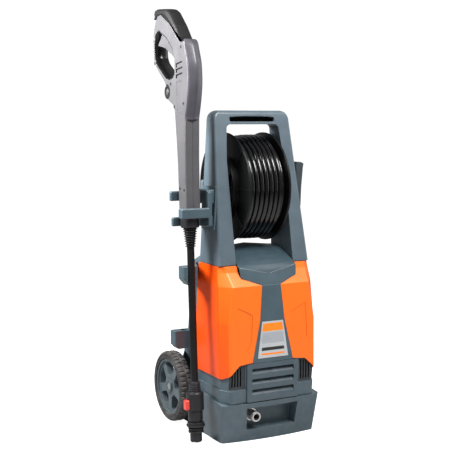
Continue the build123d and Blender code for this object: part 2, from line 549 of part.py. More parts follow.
for side in (-1, 1):
    leg = [(side * (WINDOW_HALF + TOWER_WALL), leg_foot),
           (side * (tower_half(leg_foot) - TOWER_WALL), leg_foot),
           (side * (tower_half(leg_top) - TOWER_WALL), leg_top),
           (side * (WINDOW_HALF_TOP + TOWER_WALL + 2.5), leg_top),
           (side * (WINDOW_HALF + TOWER_WALL), WINDOW_NARROW_Z)]
    hollow = prism_y(leg, -150, 100)
    inside = [(tower_front(leg_foot) + TOWER_WALL, leg_foot), (tower_front(leg_top) + TOWER_WALL, leg_top),
              (TOWER_REAR - TOWER_WALL, leg_top), (TOWER_REAR - TOWER_WALL, leg_foot)]
    tower -= hollow & prism_x(inside, -200, 200)


def beside_parting(edge_y, far_y):
    """Everything on one side of the slanted parting line, as far as far_y."""
    outline = [(PARTING_Y0 + edge_y, TOWER_Z0 - 5), (PARTING_Y1 + edge_y, TOWER_TOP + 5),
               (far_y, TOWER_TOP + 5), (far_y, TOWER_Z0 - 5)]
    return prism_x(outline, -200, 200)


tower_front_shell = tower & beside_parting(-SEAM / 2, -200)
tower_rear_shell = tower & beside_parting(SEAM / 2, 200)
for side in (-1, 1):
    x0, x1 = sorted((side * (WINDOW_HALF + 8), side * (WINDOW_HALF + 38)))
    spigot = block(x0, x1, -36, TOWER_REAR - 2, 392, TOWER_Z0 + 22)
    spigot -= block(x0 + 3, x1 - 3, -33, TOWER_REAR - 9, 390, TOWER_Z0 + 30)
    tower_rear_shell += spigot
cheek_out = tower_half(REEL_Z)
bore = rod_x(REEL_Y, REEL_Z, BUSH_R, -cheek_out + 8, 150)
for side in (-1, 1):
    x0, x1 = sorted((side * (WINDOW_HALF + 0.5), side * BUSH_SEAT_X))
    tower_rear_shell += block(x0, x1, REEL_Y - 24, TOWER_REAR - 1, REEL_Z - 22, REEL_Z + 22)
    x0, x1 = sorted((side * WINDOW_HALF, side * (cheek_out - 1)))
    housing = block(x0, x1, REEL_Y - 21, BACK_BOSS_Y, REEL_Z - 21, REEL_Z + 21, 5.0)
    tower_rear_shell += housing & block(x0, x1, TOWER_REAR - 2, BACK_BOSS_Y, REEL_Z - 30, REEL_Z + 30)
    x0, x1 = sorted((side * BUSH_SEAT_X, side * (cheek_out - TOWER_WALL)))
    tower_rear_shell -= block(x0, x1, REEL_Y - 24, BACK_BOSS_Y - 4, REEL_Z - 18, REEL_Z + 18)
tower_rear_shell -= bore
tower_front_shell -= bore
save("tower_front_shell", tower_front_shell)
save("tower_rear_shell", tower_rear_shell)

# ---- hose reel -------------------------------------------------------------------------------
drum = rod_x(REEL_Y, REEL_Z, DRUM_R, -DRUM_HALF, DRUM_HALF, DRUM_R - WALL)
drum += rod_x(REEL_Y, REEL_Z, REEL_SHAFT_R + 7, -DRUM_HALF, DRUM_HALF, REEL_SHAFT_R)
for side in (-1, 1):
    x0, x1 = sorted((side * (DRUM_HALF - 12), side * (DRUM_HALF - 9)))
    drum += rod_x(REEL_Y, REEL_Z, DRUM_R - 1, x0, x1, REEL_SHAFT_R)
save("reel_drum", drum)

flange_x0 = DRUM_HALF + 0.2
flange_x1 = flange_x0 + FLANGE_T
flange_outline = [(flange_x0, REEL_SHAFT_R), (flange_x0, FLANGE_R - 1.5), (flange_x0 + 1.5, FLANGE_R),
                  (flange_x1 + 1.5, FLANGE_R), (flange_x1 + 3, FLANGE_R - 1.5), (flange_x1 + 3, FLANGE_R - 6),
                  (flange_x1, FLANGE_R - 7.5), (flange_x1, RING_R), (flange_x1 + RING_H - 1.5, RING_R),
                  (flange_x1 + RING_H, RING_R - 1.5), (flange_x1 + RING_H, RING_R - WALL),
                  (flange_x1, RING_R - WALL - 1), (flange_x1, REEL_SHAFT_R + 12),
                  (flange_x1 + 8, REEL_SHAFT_R + 10), (flange_x1 + 8, REEL_SHAFT_R)]
flange = revolve(make_face(Polyline(*[(x, 0, r) for x, r in flange_outline], close=True)), axis=Axis.X)
FLANGE_RIBS = 8
for k in range(FLANGE_RIBS):
    rib = block(flange_x1 - 0.5, flange_x1 + 3, -1.5, 1.5, RING_R - 1, FLANGE_R - 6.5)
    rib += block(flange_x1 - 0.5, flange_x1 + 6, -1.5, 1.5, REEL_SHAFT_R + 8, RING_R - WALL + 0.5)
    flange += Rot(360 / FLANGE_RIBS * k, 0, 0) * rib
right_flange = Pos(0, REEL_Y, REEL_Z) * flange
save("reel_flanges", right_flange, mirror(right_flange, about=Plane.YZ))
shaft_x0 = -(cheek_out - 11)
shaft = rod_x(REEL_Y, REEL_Z, REEL_SHAFT_R, shaft_x0, CRANK_X + 8)
save("reel_shaft", shaft)

# the wound hose: a ring as wide as its turns and as deep as its layers, with the end fitting let in
hose_outer_r = DRUM_R + 0.3 + HOSE_D + HOSE_LAYER_PITCH * (HOSE_LAYERS - 1)
coil = rod_x(REEL_Y, REEL_Z, hose_outer_r, -DRUM_HALF + 0.4, DRUM_HALF - 0.4, DRUM_R + 0.3)
end_r = hose_outer_r - HOSE_D / 2
end_x = -DRUM_HALF + 9
coil -= block(-DRUM_HALF - 1, end_x + 9, REEL_Y + end_r - 11, REEL_Y + hose_outer_r + 5,
              REEL_Z - 4, REEL_Z + 58)
save("hose_coil", coil)
fitting = rod_z(end_x, REEL_Y + end_r, HOSE_D / 2, REEL_Z - 3.5, REEL_Z + 24)
fitting += rod_z(end_x, REEL_Y + end_r, 7.6, REEL_Z + 4, REEL_Z + 26)
hexagon = Plane(origin=(end_x, REEL_Y + end_r, REEL_Z + 26)) * RegularPolygon(8.4, 6)
fitting += extrude(hexagon, amount=10)
fitting += rod_z(end_x, REEL_Y + end_r, 6.0, REEL_Z + 36, REEL_Z + 50)
fitting -= rod_z(end_x, REEL_Y + end_r, 3.0, REEL_Z + 20, REEL_Z + 60)
save("hose_fitting", fitting)

# bushes in the legs, and the swivel union that feeds the reel's hollow shaft
bushes = []
for side in (-1, 1):
    x0, x1 = sorted((side * (WINDOW_HALF - 1.5), side * BUSH_SEAT_X))
    bush = rod_x(REEL_Y, REEL_Z, BUSH_R - 0.02, x0, x1)
    x2, x3 = sorted((side * (WINDOW_HALF - 1.5), side * (WINDOW_HALF - 0.1)))
    bush += rod_x(REEL_Y, REEL_Z, BUSH_R + 4, x2, x3) & block(x2, x3, -99, TOWER_REAR - 0.5, 0, 999)
    bushes.append(bush - rod_x(REEL_Y, REEL_Z, REEL_SHAFT_R + RUN, -200, 200))
outer_bush = rod_x(REEL_Y, REEL_Z, BUSH_R - 0.02, cheek_out - 6, cheek_out + 2.5, REEL_SHAFT_R + RUN)
bushes.append(outer_bush)
save("reel_bushes", *bushes)
union = rod_x(REEL_Y, REEL_Z, BUSH_R - 0.5, -BUSH_SEAT_X - 18, -BUSH_SEAT_X - 0.6)
union -= rod_x(REEL_Y, REEL_Z, REEL_SHAFT_R + RUN, -BUSH_SEAT_X - 16, 0)
union_front = REEL_Y - BUSH_R - 6
union += rod_y(PIPE_X, REEL_Z, 6.0, union_front, REEL_Y - REEL_SHAFT_R - 1)

# the folding crank on the right
pin_z = REEL_Z - CRANK_DROP
arm_x1 = CRANK_X + 12.5
crank = rod_x(REEL_Y, REEL_Z, 17.0, CRANK_X, arm_x1)
crank = fillet(crank.edges().group_by(Axis.X)[-1], 2.5)
crank += block(CRANK_X + 4, arm_x1, REEL_Y - 9, REEL_Y + 9, pin_z - 8, REEL_Z + 4, 3.0)
crank += block(arm_x1 - 4, arm_x1 + 20, REEL_Y - 4, REEL_Y + 4, pin_z - 6, pin_z + 6, 1.5)
crank -= rod_x(REEL_Y, REEL_Z, REEL_SHAFT_R, CRANK_X - 1, CRANK_X + 8)
pin_x = CRANK_X + 26
crank += rod_y(pin_x, pin_z, 3.0, REEL_Y - 12, REEL_Y + 12)
save("crank_arm", crank)
grip_outline = [(pin_x - 6.5, pin_z - 8), (pin_x + 8, pin_z - 8), (pin_x + 10, pin_z + 45),
                (pin_x + 15, pin_z + CRANK_GRIP_L - 14), (pin_x + 17, pin_z + CRANK_GRIP_L - 4),
                (pin_x + 9, pin_z + CRANK_GRIP_L), (pin_x - 5, pin_z + CRANK_GRIP_L + 1),
                (pin_x - 8, pin_z + CRANK_GRIP_L - 12), (pin_x - 6.5, pin_z + 45)]
grip = prism_y(grip_outline, REEL_Y - 12, REEL_Y + 12)
grip = fillet(grip.edges().filter_by(Axis.Y), 3.0)
grip = fillet(grip.edges().group_by(Axis.Y)[0] + grip.edges().group_by(Axis.Y)[-1], 2.0)
grip -= block(pin_x - 20, pin_x + 30, REEL_Y - 4.6, REEL_Y + 4.6, pin_z - 20, pin_z + 20)
grip -= rod_y(pin_x, pin_z, 3.0 + RUN, REEL_Y - 20, REEL_Y + 20)
save("crank_grip", grip)

# ---- brackets for the gun and lance ----------------------------------------------------------
gun_place = Pos(GUN_X, GUN_Y, 0) * Rot(-GUN_TILT, 0, 0)
BRACKET_X = -152.0
PRONG_Y0, PRONG_Y1 = -6.5, 5.5
BAR_Y0, BAR_Y1 = -74.0, -62.0
PRONG_TIP_X = -226.0
bracket = prism_y([(-tower_half(545) - 0.3, 545), (-tower_half(657) - 0.3, 657),
                   (-tower_half(657) - 5, 657), (-tower_half(545) - 5, 545)], -66, PRONG_Y1)
for z0, z1 in ((612, 649), (553, 582)):
    bracket += block(BRACKET_X, -tower_half(z0) - 2, -60, PRONG_Y1, z0, z1, 4.0)
bracket += block(BRACKET_X, BRACKET_X + 11, BAR_Y0, -30, 556, 646, 4.0)
bracket += block(PRONG_TIP_X, BRACKET_X + 8, PRONG_Y0, PRONG_Y1, 619, 644, 4.0)
bracket += block(PRONG_TIP_X + 5, BRACKET_X + 8, PRONG_Y0, PRONG_Y1, 553.5, 577, 4.0)
bracket += block(PRONG_TIP_X, BRACKET_X + 11, BAR_Y0, BAR_Y1, 578, 604, 4.0)
bracket += block(PRONG_TIP_X, PRONG_TIP_X + 11, BAR_Y0, BAR_Y1 + 13, 578, 604, 4.0)
bracket -= prism_y([(-tower_half(540) - 0.3, 540), (-tower_half(665) - 0.3, 665), (-90, 665), (-90, 540)],
                   -100, 60)
save("gun_bracket", bracket)

wall_x = -REAR_HALF - 0.3
clip_outline = [(wall_x, 24.0), (wall_x, 58.0), (wall_x - 13, 58.0), (wall_x - 15, 38.0), (-178.0, -12.0),
                (-206.0, -12.0), (-210.5, -18.0), (-210.5, -42.0), (-208.0, -46.0), (-170.0, -46.0),
                (-164.0, -32.0), (wall_x - 9.5, 22.0)]
lance_clip = prism_z(clip_outline, 404, 452)
lance_clip = fillet(lance_clip.edges().filter_by(Axis.Z), 1.5)
groove = rod_z(0, 0, LANCE_R + 0.6, 380, 480)
groove += block(-LANCE_R - 0.6, LANCE_R + 0.6, -60, 0, 380, 480)
lance_clip -= gun_place * groove
lance_clip -= prism_y([(-212, 400), (-190, 400), (-212, 424)], -100, 60)

HOLDER_X, HOLDER_Y, HOLDER_R = -153.0, 73.0, 11.0
holder = prism_y([(wall_x, 216), (wall_x - 42, 216), (wall_x - 53, 228), (wall_x - 53, 264), (wall_x, 264)],
                 HOLDER_Y - 15, HOLDER_Y + 15)
holder = fillet(holder.edges().filter_by(Axis.Z), 4.0)
holder -= rod_z(HOLDER_X, HOLDER_Y, HOLDER_R, 224, 270)
save("lance_holders", lance_clip, holder)

# ---- spray gun, drawn upright about the lance's axis, then leaned into its bracket -----------
shell_outline = [
    (-24, 582), (-24, 650), (-26, 730), (-33, 824), (-33.4, 835), (-44, 865), (-54, 905), (-56, 935),
    (-54, 966), (-44, 998), (-37, 1021), (-16, 1021), (4, 1035), (42, 1071), (101, 1106), (118, 1105),
    (130, 1096), (143, 1074), (150, 1054), (152, 1032), (153, 1010), (149, 989), (141, 976), (116, 953),
    (86, 929), (71, 906), (68, 881), (37, 866), (30, 851), (28, 828), (24, 780), (21, 730), (20, 650),
    (20, 582)]
hole_outline = [
    (115, 1067), (137, 1055), (146, 1030), (146, 1000), (132, 980), (79, 940), (57, 934), (34, 937),
    (25, 946), (23, 983), (34, 1010), (67, 1041), (106, 1061)]
shell_face = make_face(Polyline(*[(-GUN_HALF, u, h) for u, h in shell_outline], close=True))
shell_face = fillet(shell_face.vertices(), 3.0)
hole_face = make_face(Polyline(*[(-GUN_HALF, u, h) for u, h in hole_outline], close=True))
hole_face = fillet(hole_face.vertices(), 3.0)
gun_form = extrude(shell_face - hole_face, amount=2 * GUN_HALF, dir=(1, 0, 0))
gun_form = chamfer(gun_form.edges().group_by(Axis.X)[0] + gun_form.edges().group_by(Axis.X)[-1], 2.2)

cavity = prism_x([(-20, 590), (16, 590), (17, 728), (20, 780), (24, 828), (26, 852), (34, 870), (46, 880),
                  (46, 922), (18, 922), (17, 970), (0, 1006), (-28, 1010), (-38, 994), (-48, 966), (-50, 935),
                  (-48, 905), (-38, 866), (-28, 836), (-28, 824), (-21, 728)], -GUN_HALF + 4, GUN_HALF - 4)
PIVOT_U, PIVOT_H = 17.0, 990.0
PIN_HALF = GUN_HALF - 4.2
TRIGGER_PIN_R = 2.5
TRIGGER_HALF = 11.5
trigger_slot = prism_x([(5, 978), (24, 973), (60, 985), (112, 1060), (112, 1085), (60, 1064), (20, 1020),
                        (4, 1000)], -TRIGGER_HALF - PLAY, TRIGGER_HALF + PLAY)
DIAL_U, DIAL_H, DIAL_R, DIAL_HALF = 72.0, 903.0, 18.5, 19.8
DIAL_NECK_R = 6.0
WEB_HALF = 5.5             # the web of the gun that the dial's neck snaps into
gun_form += rod_x(DIAL_U, DIAL_H, DIAL_NECK_R + 4.5, -GUN_HALF + 3, GUN_HALF - 3)
gun_form -= cavity + trigger_slot
for side in (-1, 1):
    x0, x1 = sorted((side * WEB_HALF, side * (GUN_HALF + 1)))
    gun_form -= rod_x(DIAL_U, DIAL_H, DIAL_R + PLAY, x0, x1)
gun_form -= rod_x(DIAL_U, DIAL_H, DIAL_NECK_R + RUN, -WEB_HALF - 1, WEB_HALF + 1)
gun_form -= block(-WEB_HALF - 1, WEB_HALF + 1, DIAL_U, DIAL_U + 20, DIAL_H - 4.6, DIAL_H + 4.6)
gun_form -= rod_z(0, 0, LANCE_R + STRAIGHT_FIT, 570, 592)
for side in (-1, 1):
    x0, x1 = sorted((side * (GUN_HALF - 3.2), side * (GUN_HALF + 1)))
    for i in range(3):
        h = 966 - 14 * i
        vent = [(-24, h + 3), (-24, h + 6.5), (15, h + 3.8), (15, h - 6), (7, h - 6), (7, h)]
        gun_form -= prism_x(vent, x0, x1)
    x0, x1 = sorted((side * (GUN_HALF - 0.7), side * (GUN_HALF + 1)))
    gun_form -= prism_x([(15, 924), (-18, 924), (-15, 874), (-6, 847), (13, 853)], x0, x1)
gun_form -= rod_x(PIVOT_U, PIVOT_H, TRIGGER_PIN_R, -PIN_HALF, PIN_HALF)
SCREW_SPOTS = [(-19, 1008), (145, 984), (49, 922), (-24, 866), (31, 862), (11, 653), (-14, 649)]
screws = []
for u, h in SCREW_SPOTS:
    gun_form -= rod_x(u, h, 3.4, -GUN_HALF - 1, -GUN_HALF + 3)
    screws.append(gun_place * rod_x(u, h, 3.2, -GUN_HALF + 1.2, -GUN_HALF + 3))
half_gap = 0.15
save("gun_shell_left", gun_place * (gun_form & block(-99, -half_gap, -200, 300, 0, 1300)))
save("gun_shell_right", gun_place * (gun_form & block(half_gap, 99, -200, 300, 0, 1300)))

fairing_outline = [
    (-37.4, 1021.6), (-34, 1027), (-42, 1025), (-52, 1008), (-60, 985), (-67, 960), (-68, 940),
    (-63.5, 904), (-52, 864), (-41, 825), (-33.8, 825), (-34, 835), (-44.5, 865), (-54.5, 905),
    (-56.5, 935), (-54.5, 966), (-44.5, 998)]
fairing = prism_x(fairing_outline, -GUN_HALF - 1, GUN_HALF + 1)
front_edges = fairing.edges().filter_by(lambda e: abs(e.center().X) > GUN_HALF and e.center().Y < -57)
fairing = chamfer(front_edges, 3.0)
save("gun_fairing", gun_place * fairing)

rubber_outline = [
    (-36.5, 1021.8), (-30, 1027), (-18, 1031), (15, 1069), (53, 1108), (68, 1116), (130, 1125),
    (143, 1122), (148, 1113), (143, 1098), (131, 1096.8), (118.5, 1106), (101, 1107), (42, 1072),
    (4, 1036), (-16, 1021.6)]
rubber = prism_x(rubber_outline, -GUN_HALF + 0.5, GUN_HALF - 0.5)
save("grip_rubber", gun_place * rubber)

trigger_outline = [
    (108, 1058), (67, 1038), (36, 1010), (17, 998), (11, 990), (17, 982), (30, 984), (60, 1000),
    (95, 1019), (139, 1030), (125, 1042)]
LOCK_U, LOCK_H = 100.0, 1029.0
trigger = prism_x(trigger_outline, -TRIGGER_HALF, TRIGGER_HALF)
trigger = fillet(trigger.edges().filter_by(Axis.X), 1.5)
trigger -= prism_x([(110, 1037), (98, 1037), (64, 1018), (58, 996), (110, 1014)], -5.0, 5.0)
trigger -= rod_x(PIVOT_U, PIVOT_H, TRIGGER_PIN_R + RUN, -20, 20)
trigger += rod_x(LOCK_U, LOCK_H, 1.5, -6, 6)
save("trigger", gun_place * trigger)
lock = prism_x([(LOCK_U + 4.5, LOCK_H), (LOCK_U, LOCK_H + 4.5), (70, 1012.5), (68, 1008), (72, 1004.5),
                (LOCK_U + 2, LOCK_H - 4.5)], -4.5, 4.5)
lock = fillet(lock.edges().filter_by(Axis.X), 1.2)
lock -= rod_x(LOCK_U, LOCK_H, 1.5 + RUN, -10, 10)
save("trigger_lock", gun_place * lock)
trigger_pin = gun_place * rod_x(PIVOT_U, PIVOT_H, TRIGGER_PIN_R, -PIN_HALF, PIN_HALF)

disc = rod_x(DIAL_U, DIAL_H, DIAL_R, WEB_HALF + PLAY, DIAL_HALF)
disc = fillet(disc.edges().group_by(Axis.X)[-1], 2.0)
DIAL_NOTCHES = 20
for k in range(DIAL_NOTCHES):
    notch = block(WEB_HALF, DIAL_HALF + 1, -1.3, 1.3, DIAL_R - 1.2, DIAL_R + 2)
    disc -= Pos(0, DIAL_U, DIAL_H) * Rot(360 / DIAL_NOTCHES * k, 0, 0) * notch
disc -= rod_x(DIAL_U, DIAL_H, DIAL_R - 6, DIAL_HALF - 1.2, DIAL_HALF + 1)
dial = disc + mirror(disc, about=Plane.YZ) + rod_x(DIAL_U, DIAL_H, DIAL_NECK_R, -WEB_HALF - 1, WEB_HALF + 1)
save("regulator_dial", gun_place * dial)
save("gun_fasteners", trigger_pin, *screws)

valve = block(-14, 14, -16, 16, 862, 918, 3.0) + rod_z(0, 0, 7.0, 602, 863)
valve += rod_z(4, 0, 4.0, 917, 962)
save("gun_valve", gun_place * valve)

collar = rod_z(0, 0, COLLAR_R, 553, 581.5)
collar = chamfer(collar.edges().group_by(Axis.Z)[0], 2.5)
collar -= rod_z(0, 0, LANCE_R + STRAIGHT_FIT, 540, 590)
save("gun_collar", gun_place * collar)
BOOT_RINGS = 7
boot_z0, boot_z1 = 503.0, 552.5
ring_step = (boot_z1 - boot_z0) / BOOT_RINGS
boot_outline = [(LANCE_R + STRAIGHT_FIT, boot_z0)]
for i in range(BOOT_RINGS):
    z = boot_z0 + ring_step * i
    r_out = 14.6 + 5.0 * i / (BOOT_RINGS - 1)
    r_in = r_out - 4.2 + 0.2 * i
    boot_outline += [(r_in, z), (r_out, z + 0.6), (r_out, z + 0.45 * ring_step), (r_in, z + 0.62 * ring_step)]
boot_outline += [(18.5, boot_z1), (LANCE_R + STRAIGHT_FIT, boot_z1)]
boot_face = make_face(Polyline(*[(r, 0, z) for r, z in boot_outline], close=True))
save("lance_boot", gun_place * revolve(boot_face, axis=Axis.Z))
save("lance_tube", gun_place * rod_z(0, 0, LANCE_R, TUBE_Z0, 600, LANCE_BORE_R))

connector_outline = [
    (LANCE_R + STRAIGHT_FIT, 119.8), (NOZZLE_CORE_R + RUN, 119.8), (NOZZLE_CORE_R + RUN, 82.5), (20, 82.5),
    (CONNECTOR_R, 85), (CONNECTOR_R, 127), (20, 131.5), (15.5, 132), (16, 136), (14, 137), (15.5, 141),
    (13.5, 142), (15, 146), (13, 147), (14, 152), (12, 157), (LANCE_R + STRAIGHT_FIT, 158)]
connector = revolve(make_face(Polyline(*[(r, 0, z) for r, z in connector_outline], close=True)), axis=Axis.Z)
connector -= block(-CONNECTOR_R - 5, -10.2, -9 - PLAY, 9 + PLAY, 86 - PLAY, 112 + PLAY)
save("lance_connector", gun_place * connector)
latch = block(-30, -14.5, -9, 9, 86, 112, 3.5)
save("latch_button", gun_place * latch)

nozzle_core = rod_z(0, 0, NOZZLE_CORE_R, 16, 119.5)
nozzle_core += rod_z(0, 0, 19.0, 58, 81.8) + rod_z(0, 0, 16.0, 52, 58.5)
nozzle_core += rod_z(0, 0, 21.5, 48, 52.4)
nozzle_core -= rod_z(0, 0, 3.0, 10, 130)
save("nozzle_body", gun_place * nozzle_core)
sleeve_outline = [
    (NOZZLE_CORE_R + RUN, LANCE_TIP + 8), (11, LANCE_TIP), (14.8, LANCE_TIP), (15.6, LANCE_TIP + 1.5),
    (15.6, 24), (20, 26), (20, 30), (17, 31.5), (17, 33), (20, 34.5), (20, 37.5), (17, 39),
    (17, 40.5), (24, 42), (24, 46.5), (21, 47.4), (NOZZLE_CORE_R + RUN, 47.4)]
sleeve = revolve(make_face(Polyline(*[(r, 0, z) for r, z in sleeve_outline], close=True)), axis=Axis.Z)
for k in range(4):
    sleeve -= Rot(0, 0, 45 + 90 * k) * block(11.6, 20, -3.2, 3.2, LANCE_TIP - 1, LANCE_TIP + 5)
save("nozzle_sleeve", gun_place * sleeve)

# ---- motor and pump --------------------------------------------------------------------------
def ring_z(r, bore, z0, z1):
    return rod_z(0, MOTOR_Y, r, z0, z1, bore)


HEAD_X0, HEAD_X1 = -66.0, 45.0
BEARING_R = 16.0
mounts = []
for sx in (-1, 1):
    for sy in (-1, 1):
        mounts.append(rod_z(-10 + 44 * sx, MOTOR_Y + 30 * sy, 9.0, BASE_FLOOR, 26))
save("motor_mounts", *mounts)
head = block(HEAD_X0, HEAD_X1, MOTOR_Y - 42, MOTOR_Y + 42, 26, 80, 3.0)
for k in range(3):
    angle = radians(90 + 120 * k)
    head -= rod_z(26 * cos(angle), MOTOR_Y + 26 * sin(angle), 7.0 + RUN, 60, 90)
save("pump_head", head)
pistons = []
for k in range(3):
    angle = radians(90 + 120 * k)
    x, y = 26 * cos(angle), MOTOR_Y + 26 * sin(angle)
    pistons.append(rod_z(x, y, 7.0, 62, 122) + rod_z(x, y, 10.0, 118, 126))
save("pistons", *pistons)
save("pump_case", ring_z(52, 47, 80.2, 152) + ring_z(62, BEARING_R, 152, 166))
wobble = ring_z(38, SHAFT_R, 129, 148)
wobble -= Pos(0, MOTOR_Y, 121.5) * Rot(8, 0, 0) * Box(120, 120, 20)
save("wobble_plate", wobble)
motor_can = ring_z(MOTOR_R, MOTOR_R - 3, 166.2, MOTOR_Z1)
motor_can += ring_z(MOTOR_R, BEARING_R, MOTOR_Z1 - 1, MOTOR_Z1 + 8)
bearing_z = ((153, 164), (MOTOR_Z1 - 0.5, MOTOR_Z1 + 7.5))
save("motor_bearings", *[ring_z(BEARING_R - 0.02, SHAFT_R + RUN, z0, z1) for z0, z1 in bearing_z])
stator = ring_z(MOTOR_R - 3.2, 37.5, MOTOR_Z0 + 22, MOTOR_Z1 - 30)
stator += ring_z(55, 41, MOTOR_Z0 + 4, MOTOR_Z0 + 23) + ring_z(55, 41, MOTOR_Z1 - 31, MOTOR_Z1 - 12)
save("stator", stator)
rotor = ring_z(36.6, 0, MOTOR_Z0 + 24, MOTOR_Z1 - 32) + ring_z(SHAFT_R, 0, 126.5, MOTOR_Z1 + 30)
fan = ring_z(16, SHAFT_R, MOTOR_Z1 + 12, MOTOR_Z1 + 28) + ring_z(50, 14, MOTOR_Z1 + 12, MOTOR_Z1 + 14)
for k in range(9):
    fan += Pos(0, MOTOR_Y, 0) * Rot(0, 0, 40 * k) * block(14, 49, -1, 1, MOTOR_Z1 + 13, MOTOR_Z1 + 26)
save("rotor", rotor, fan)
fan_cover = ring_z(MOTOR_R, 56, MOTOR_Z1 + 8.2, MOTOR_Z1 + 34)
fan_cover += ring_z(MOTOR_R, 20, MOTOR_Z1 + 33, MOTOR_Z1 + 36)
save("motor_housing", motor_can, fan_cover)
capacitor = rod_z(86, MOTOR_Y + 20, 18.0, 190, 262) + rod_z(86, MOTOR_Y + 20, 5.0, 260, 270)
microswitch_box = block(HEAD_X1 + 0.3, HEAD_X1 + 32, MOTOR_Y - 18, MOTOR_Y + 18, 34, 74, 2.0)
save("motor_electrics", capacitor, microswitch_box)
unloader = rod_x(MOTOR_Y, 52, 13.0, HEAD_X0 - 26, HEAD_X0 - 0.2)
unloader += rod_x(MOTOR_Y, 52, 8.0, HEAD_X0 - 32, HEAD_X0 - 20)
inlet_pipe = rod_y(INLET_X, INLET_Z, 14.5, RECESS_BACK_Y + 26, MOTOR_Y - 42.2, INLET_R - 0.8)
save("pump_fittings", unloader, inlet_pipe)
pipe_route = [(HEAD_X0 - 32.2, MOTOR_Y, 52), (PIPE_X, MOTOR_Y, 52), (PIPE_X, MOTOR_Y, REEL_Z),
              (PIPE_X, union_front - 0.2, REEL_Z)]
feed = piped(pipe_route, [12, 16], PIPE_R)
save("pressure_line", feed, union)
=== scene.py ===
"""Upright pressure washer: materials, wound hose, tyres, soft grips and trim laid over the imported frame."""
import json
from math import cos, pi, radians, sin

import bmesh
import bpy
from mathutils import Matrix, Vector, noise


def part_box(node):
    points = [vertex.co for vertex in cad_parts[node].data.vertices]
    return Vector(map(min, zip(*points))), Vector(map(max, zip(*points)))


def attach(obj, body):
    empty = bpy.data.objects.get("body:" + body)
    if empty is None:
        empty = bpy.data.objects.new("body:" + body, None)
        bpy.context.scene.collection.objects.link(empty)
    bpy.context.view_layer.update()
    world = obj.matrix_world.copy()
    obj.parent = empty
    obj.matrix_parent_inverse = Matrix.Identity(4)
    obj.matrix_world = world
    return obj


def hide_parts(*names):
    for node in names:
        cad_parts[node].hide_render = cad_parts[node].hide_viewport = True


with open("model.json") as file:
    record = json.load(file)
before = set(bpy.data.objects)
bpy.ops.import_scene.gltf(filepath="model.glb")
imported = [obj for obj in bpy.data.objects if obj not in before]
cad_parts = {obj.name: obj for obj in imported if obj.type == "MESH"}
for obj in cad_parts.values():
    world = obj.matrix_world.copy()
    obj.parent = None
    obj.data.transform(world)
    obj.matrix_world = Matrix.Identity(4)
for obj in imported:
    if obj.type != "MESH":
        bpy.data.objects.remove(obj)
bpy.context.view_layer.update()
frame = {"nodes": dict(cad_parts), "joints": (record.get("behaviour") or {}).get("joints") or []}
nodes = frame["nodes"]
joints = {joint["name"]: joint for joint in frame["joints"]}
scene = bpy.context.scene

# ---- places taken from the frame, in metres ----------------------------------------------------
lance_direction = Vector(joints["gun_lift"]["axis"]).normalized()
lance_point = Vector(joints["nozzle_twist"]["pos_m"])
lance_foot = lance_point - lance_direction * 0.025
gun_tilt = Vector((0, 0, 1)).rotation_difference(lance_direction).to_matrix().to_4x4()
gun_frame = Matrix.Translation(lance_foot) @ gun_tilt
gun_middle_x = lance_foot.x
reel_centre = Vector(joints["reel_spin"]["pos_m"])
wheel_axis = Vector(joints["right_wheel_spin"]["pos_m"])


# ---- node helpers ------------------------------------------------------------------------------
def place(tree, kind, inputs=None, **settings):
    """Adds a node; an input is given a value, or the socket that feeds it."""
    made = tree.nodes.new(kind)
    for key, value in settings.items():
        setattr(made, key, value)
    for name, value in (inputs or {}).items():
        if isinstance(value, bpy.types.NodeSocket):
            tree.links.new(value, made.inputs[name])
        else:
            made.inputs[name].default_value = value
    return made


def calc(tree, operation, first, second=0.0, clamp=False):
    made = place(tree, "ShaderNodeMath", {0: first, 1: second}, operation=operation, use_clamp=clamp)
    return made.outputs[0]


def blend_colour(tree, factor, first, second):
    made = place(tree, "ShaderNodeMix", {0: factor, 6: first, 7: second}, data_type="RGBA")
    return made.outputs[2]


def ramp(tree, value, low, high):
    spread = {"Value": value, "From Min": low, "From Max": high}
    return place(tree, "ShaderNodeMapRange", spread, clamp=True).outputs["Result"]


def new_group(name, inputs, outputs):
    group = bpy.data.node_groups.new(name, "ShaderNodeTree")
    for title, kind, value in inputs:
        socket = group.interface.new_socket(title, in_out="INPUT", socket_type=kind)
        if value is not None:
            socket.default_value = value
    for title, kind in outputs:
        group.interface.new_socket(title, in_out="OUTPUT", socket_type=kind)
    return group, group.nodes.new("NodeGroupInput").outputs, group.nodes.new("NodeGroupOutput").inputs


def use_group(tree, group, inputs):
    return place(tree, "ShaderNodeGroup", inputs, node_tree=group).outputs


# ---- effects that several finishes share -------------------------------------------------------
def make_eased_edges():
    """Rounds the look of moulded edges and gives a mask that is 1 along them."""
    group, given, result = new_group("eased_edges", [("Radius", "NodeSocketFloat", 0.001)],
                                     [("Normal", "NodeSocketVector"), ("Edge", "NodeSocketFloat")])
    bevel = place(group, "ShaderNodeBevel", {"Radius": given["Radius"]}, samples=4)
    flat = place(group, "ShaderNodeNewGeometry")
    dot = place(group, "ShaderNodeVectorMath", {0: bevel.outputs[0], 1: flat.outputs["Normal"]},
                operation="DOT_PRODUCT")
    edge = ramp(group, calc(group, "SUBTRACT", 1.0, dot.outputs["Value"]), 0.01, 0.25)
    group.links.new(bevel.outputs[0], result["Normal"])
    group.links.new(edge, result["Edge"])
    return group


